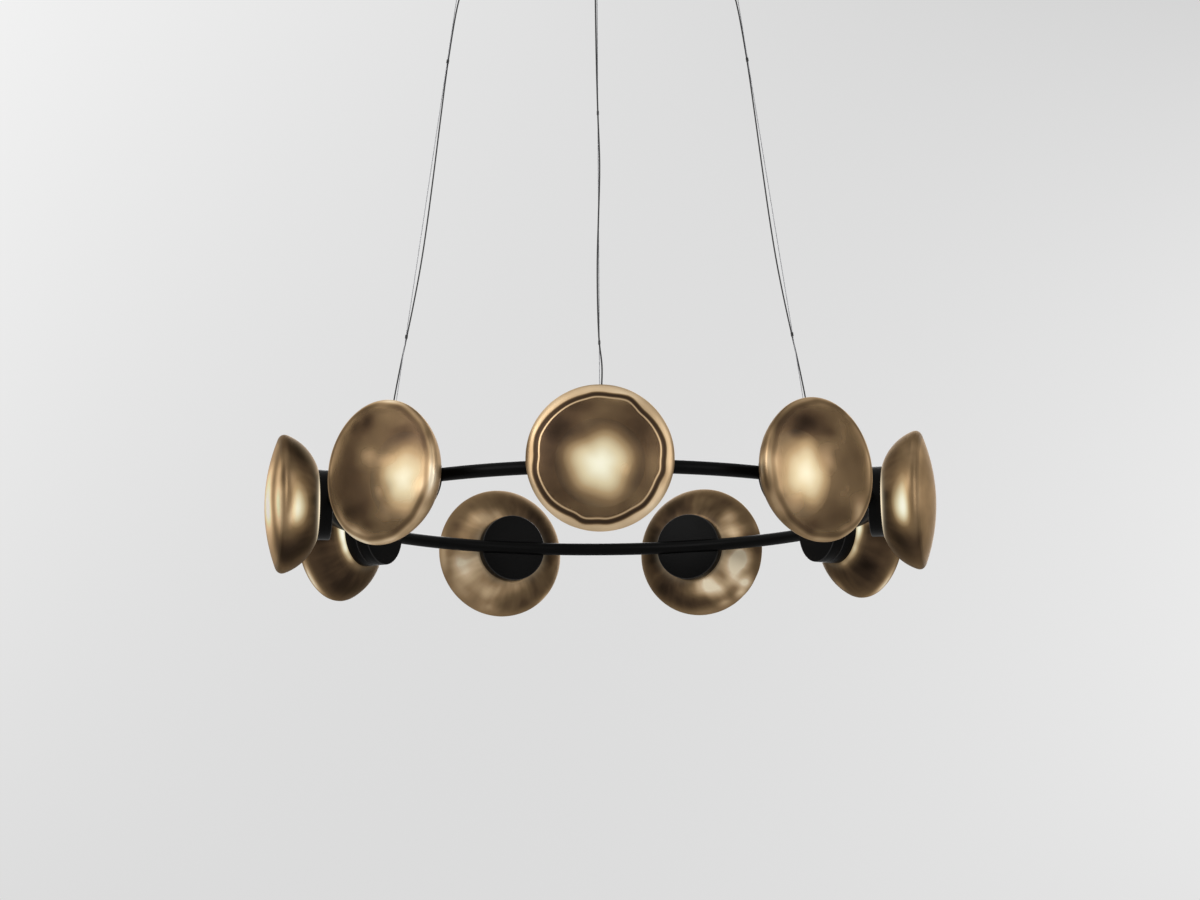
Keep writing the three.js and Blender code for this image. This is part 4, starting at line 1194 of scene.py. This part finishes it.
def make_clip(index, share):
    """A small two-hole sleeve round the rope and the lead, with a parting line."""
    z = lead_height(share)
    out, aside = next(row[1:] for row in lead_route(index) if row[0] == share)
    rope, lead = beside_rope(z), beside_rope(z, aside, out)
    across = (lead - rope).normalized()
    up = Vector((0, math.sin(ROPE_LEAN), math.cos(ROPE_LEAN)))
    across = (across - up * across.dot(up)).normalized()
    out_of = up.cross(across)
    halves = [(rope, 90, 270, ROPE_RADIUS + CLIP_WALL_AT_ROPE),
              (lead, -90, 90, LEAD_RADIUS + CLIP_WALL_AT_LEAD)]
    points = []
    for level, inset in CLIP_SECTIONS:
        for centre, start, end, radius in halves:
            for u, v in arc((0, 0), radius - inset * MM, start, end, 8):
                points.append(centre + across * u + out_of * v + up * level * MM)
    turn = Matrix.Rotation(index * ROPE_STEP, 4, "Z")
    sections = len(CLIP_SECTIONS)
    return mesh_of("clip", [turn @ p for p in points], stack_faces(sections, len(points) // sections))


def make_barrel(index):
    """The gripper's barrel, from its rope hole over its plunger's pocket and neck to its ball."""
    neck = math.degrees(math.acos(NECK_RADIUS / BALL_RADIUS))
    ball = arc((0, 0), BALL_RADIUS, -neck, 90, 14)[:-1] + [(0, BALL_RADIUS)]
    return revolved("barrel", in_mm(BARREL_LINE) + ball, GRIPPER_SIDES, rope_matrix(index))


def make_plunger(index):
    return revolved("plunger", in_mm(PLUNGER_LINE), PLUNGER_SIDES, rope_matrix(index))


# Canopy

def make_cover():
    """The canopy's dish, open at the ceiling, with a hole for each ball socket and each lead."""
    inner = CANOPY_RADIUS - CANOPY_WALL
    floor = -CANOPY_HEIGHT
    centre = (CANOPY_RADIUS - CANOPY_CORNER, floor + CANOPY_CORNER)
    profile = [(0, floor), (CANOPY_RADIUS * 0.5, floor)]
    profile += arc(centre, CANOPY_CORNER, -90, 0, 6) + [(CANOPY_RADIUS, 0), (inner, 0)]
    profile += arc(centre, CANOPY_CORNER - CANOPY_WALL, 0, -90, 4)
    profile += [(CANOPY_RADIUS * 0.5, floor + CANOPY_WALL), (0, floor + CANOPY_WALL)]
    dish = revolved("cover", profile, CANOPY_SIDES)
    holes = []
    for i in range(ROPE_COUNT):
        turn = Matrix.Rotation(i * ROPE_STEP, 4, "Z")
        for reach, radius in ((BALL_CIRCLE, SOCKET_RADIUS + SOCKET_CLEARANCE),
                              (BALL_CIRCLE - LEAD_INSET, LEAD_RADIUS + SWAY_CLEARANCE)):
            line = [turn @ Vector((0, -reach, floor + d * MM)) for d in (-3, 6)]
            holes.append(swept("hole", line, radius, HOLE_SIDES))
    return cut_from(dish, *holes)


# Assembly

def build_scene():
    place_camera()
    black = make_finish(satin_black_coat)
    white = make_finish(moulded_white)
    hang_ropes_and_leads(make_finish(wire_steel), make_finish(lead_sheath), make_finish(nickel_plate))
    build_ring(black)
    build_heads(black, make_finish(bronze_glass), make_finish(opal_diffuser))
    add_piece("canopy_dish", make_cover(), black, "canopy", ["canopy_cover"])
    finish_nodes({
        "ceiling_bracket": make_finish(zinc_plate), "led_driver": white, "terminal_block": white,
        "glass_retainer": make_finish(cast_aluminium),
    })
    light_scene()
    lay_floor()
    bpy.context.scene.view_settings.view_transform = "Standard"


def hang_ropes_and_leads(steel, sheath, plated):
    strands = make_strand_tree(steel)
    for index, side in enumerate(("front", "rear_right", "rear_left")):
        number = index + 1
        body = side + "_rope"
        matrix = rope_matrix(index)
        length = ROPE_TOP - ROPE_END
        rope_mesh = run_tree(strands, {
            "Length": length, "Rope Radius": ROPE_RADIUS, "Lay": ROPE_LAY, "Strands": ROPE_STRANDS,
            "Steps": STRAND_STEPS,
        }, matrix @ Matrix.Translation((0, 0, ROPE_END)))
        rope = add_piece(f"wire_rope_{number}", rope_mesh, steel, body, [f"suspension_rope_{number}"],
                         crease=0)
        path = [matrix @ Vector((0, 0, ROPE_END + length * t / ROPE_STATIONS))
                for t in range(ROPE_STATIONS + 1)]
        path = lead_path(index)
        lead = add_piece(f"lead_{number}", swept("lead", path, LEAD_RADIUS, LEAD_SIDES), sheath, body,
                         [f"power_lead_{number}"], crease=0)
        clips = [add_piece(f"clip_{number}_{k + 1}", make_clip(index, share), sheath, body)
                 for k, share in enumerate(SIDE_CLIPS if index else FRONT_CLIPS)]
        length = sum((q - p).length for p, q in zip(path[:-1], path[1:]))
        add_piece(f"gripper_{number}", make_barrel(index), plated, body, [f"gripper_barrel_{number}"])
        add_piece(f"plunger_{number}", make_plunger(index), plated, side + "_plunger",
                  [f"release_plunger_{number}"])


def build_ring(black):
    tubes = make_arc_tree(black)
    gap = TUBE_END_GAP / RING_RADIUS
    for index in range(ROPE_COUNT):
        number = index + 1
        azimuth = index * ROPE_STEP
        mesh = run_tree(tubes, {
            "Ring Radius": RING_RADIUS, "Start": azimuth + gap / 2 - math.pi / 2, "Sweep": ROPE_STEP - gap,
            "Tube Radius": TUBE_RADIUS, "Steps": TUBE_STEPS,
        }, Matrix.Translation((0, 0, RING_Z)))
        add_piece(f"tube_{number}", mesh, black, "ring", [f"ring_tube_{number}"])
        add_piece(f"hub_case_{number}", make_hub(azimuth), black, "ring", [f"hub_drum_{number}"])
        add_piece(f"hub_collar_{number}", make_collar(azimuth), black, "ring")


def build_heads(black, bronze, opal):
    for head in HEADS:
        number = head.index + 1
        add_piece(f"head_case_{number}", make_housing(head.index * HEAD_STEP), black, "ring",
                  [f"head_housing_{number}"])
        add_piece(f"glass_{number}", make_glass(head), bronze, "ring", [f"glass_shade_{number}"],
                  crease=0)
        add_piece(f"lamp_{number}", make_lamp(head), opal, "ring", [f"led_board_{number}"])


def finish_nodes(finishes):
    """Each CAD node that still shows gets its finish."""
    for name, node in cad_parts.items():
        if node.hide_render:
            continue
        material = next(m for start, m in finishes.items() if name.startswith(start))
        node.data.materials.clear()
        node.data.materials.append(material)


build_scene()
bpy.context.view_layer.update()
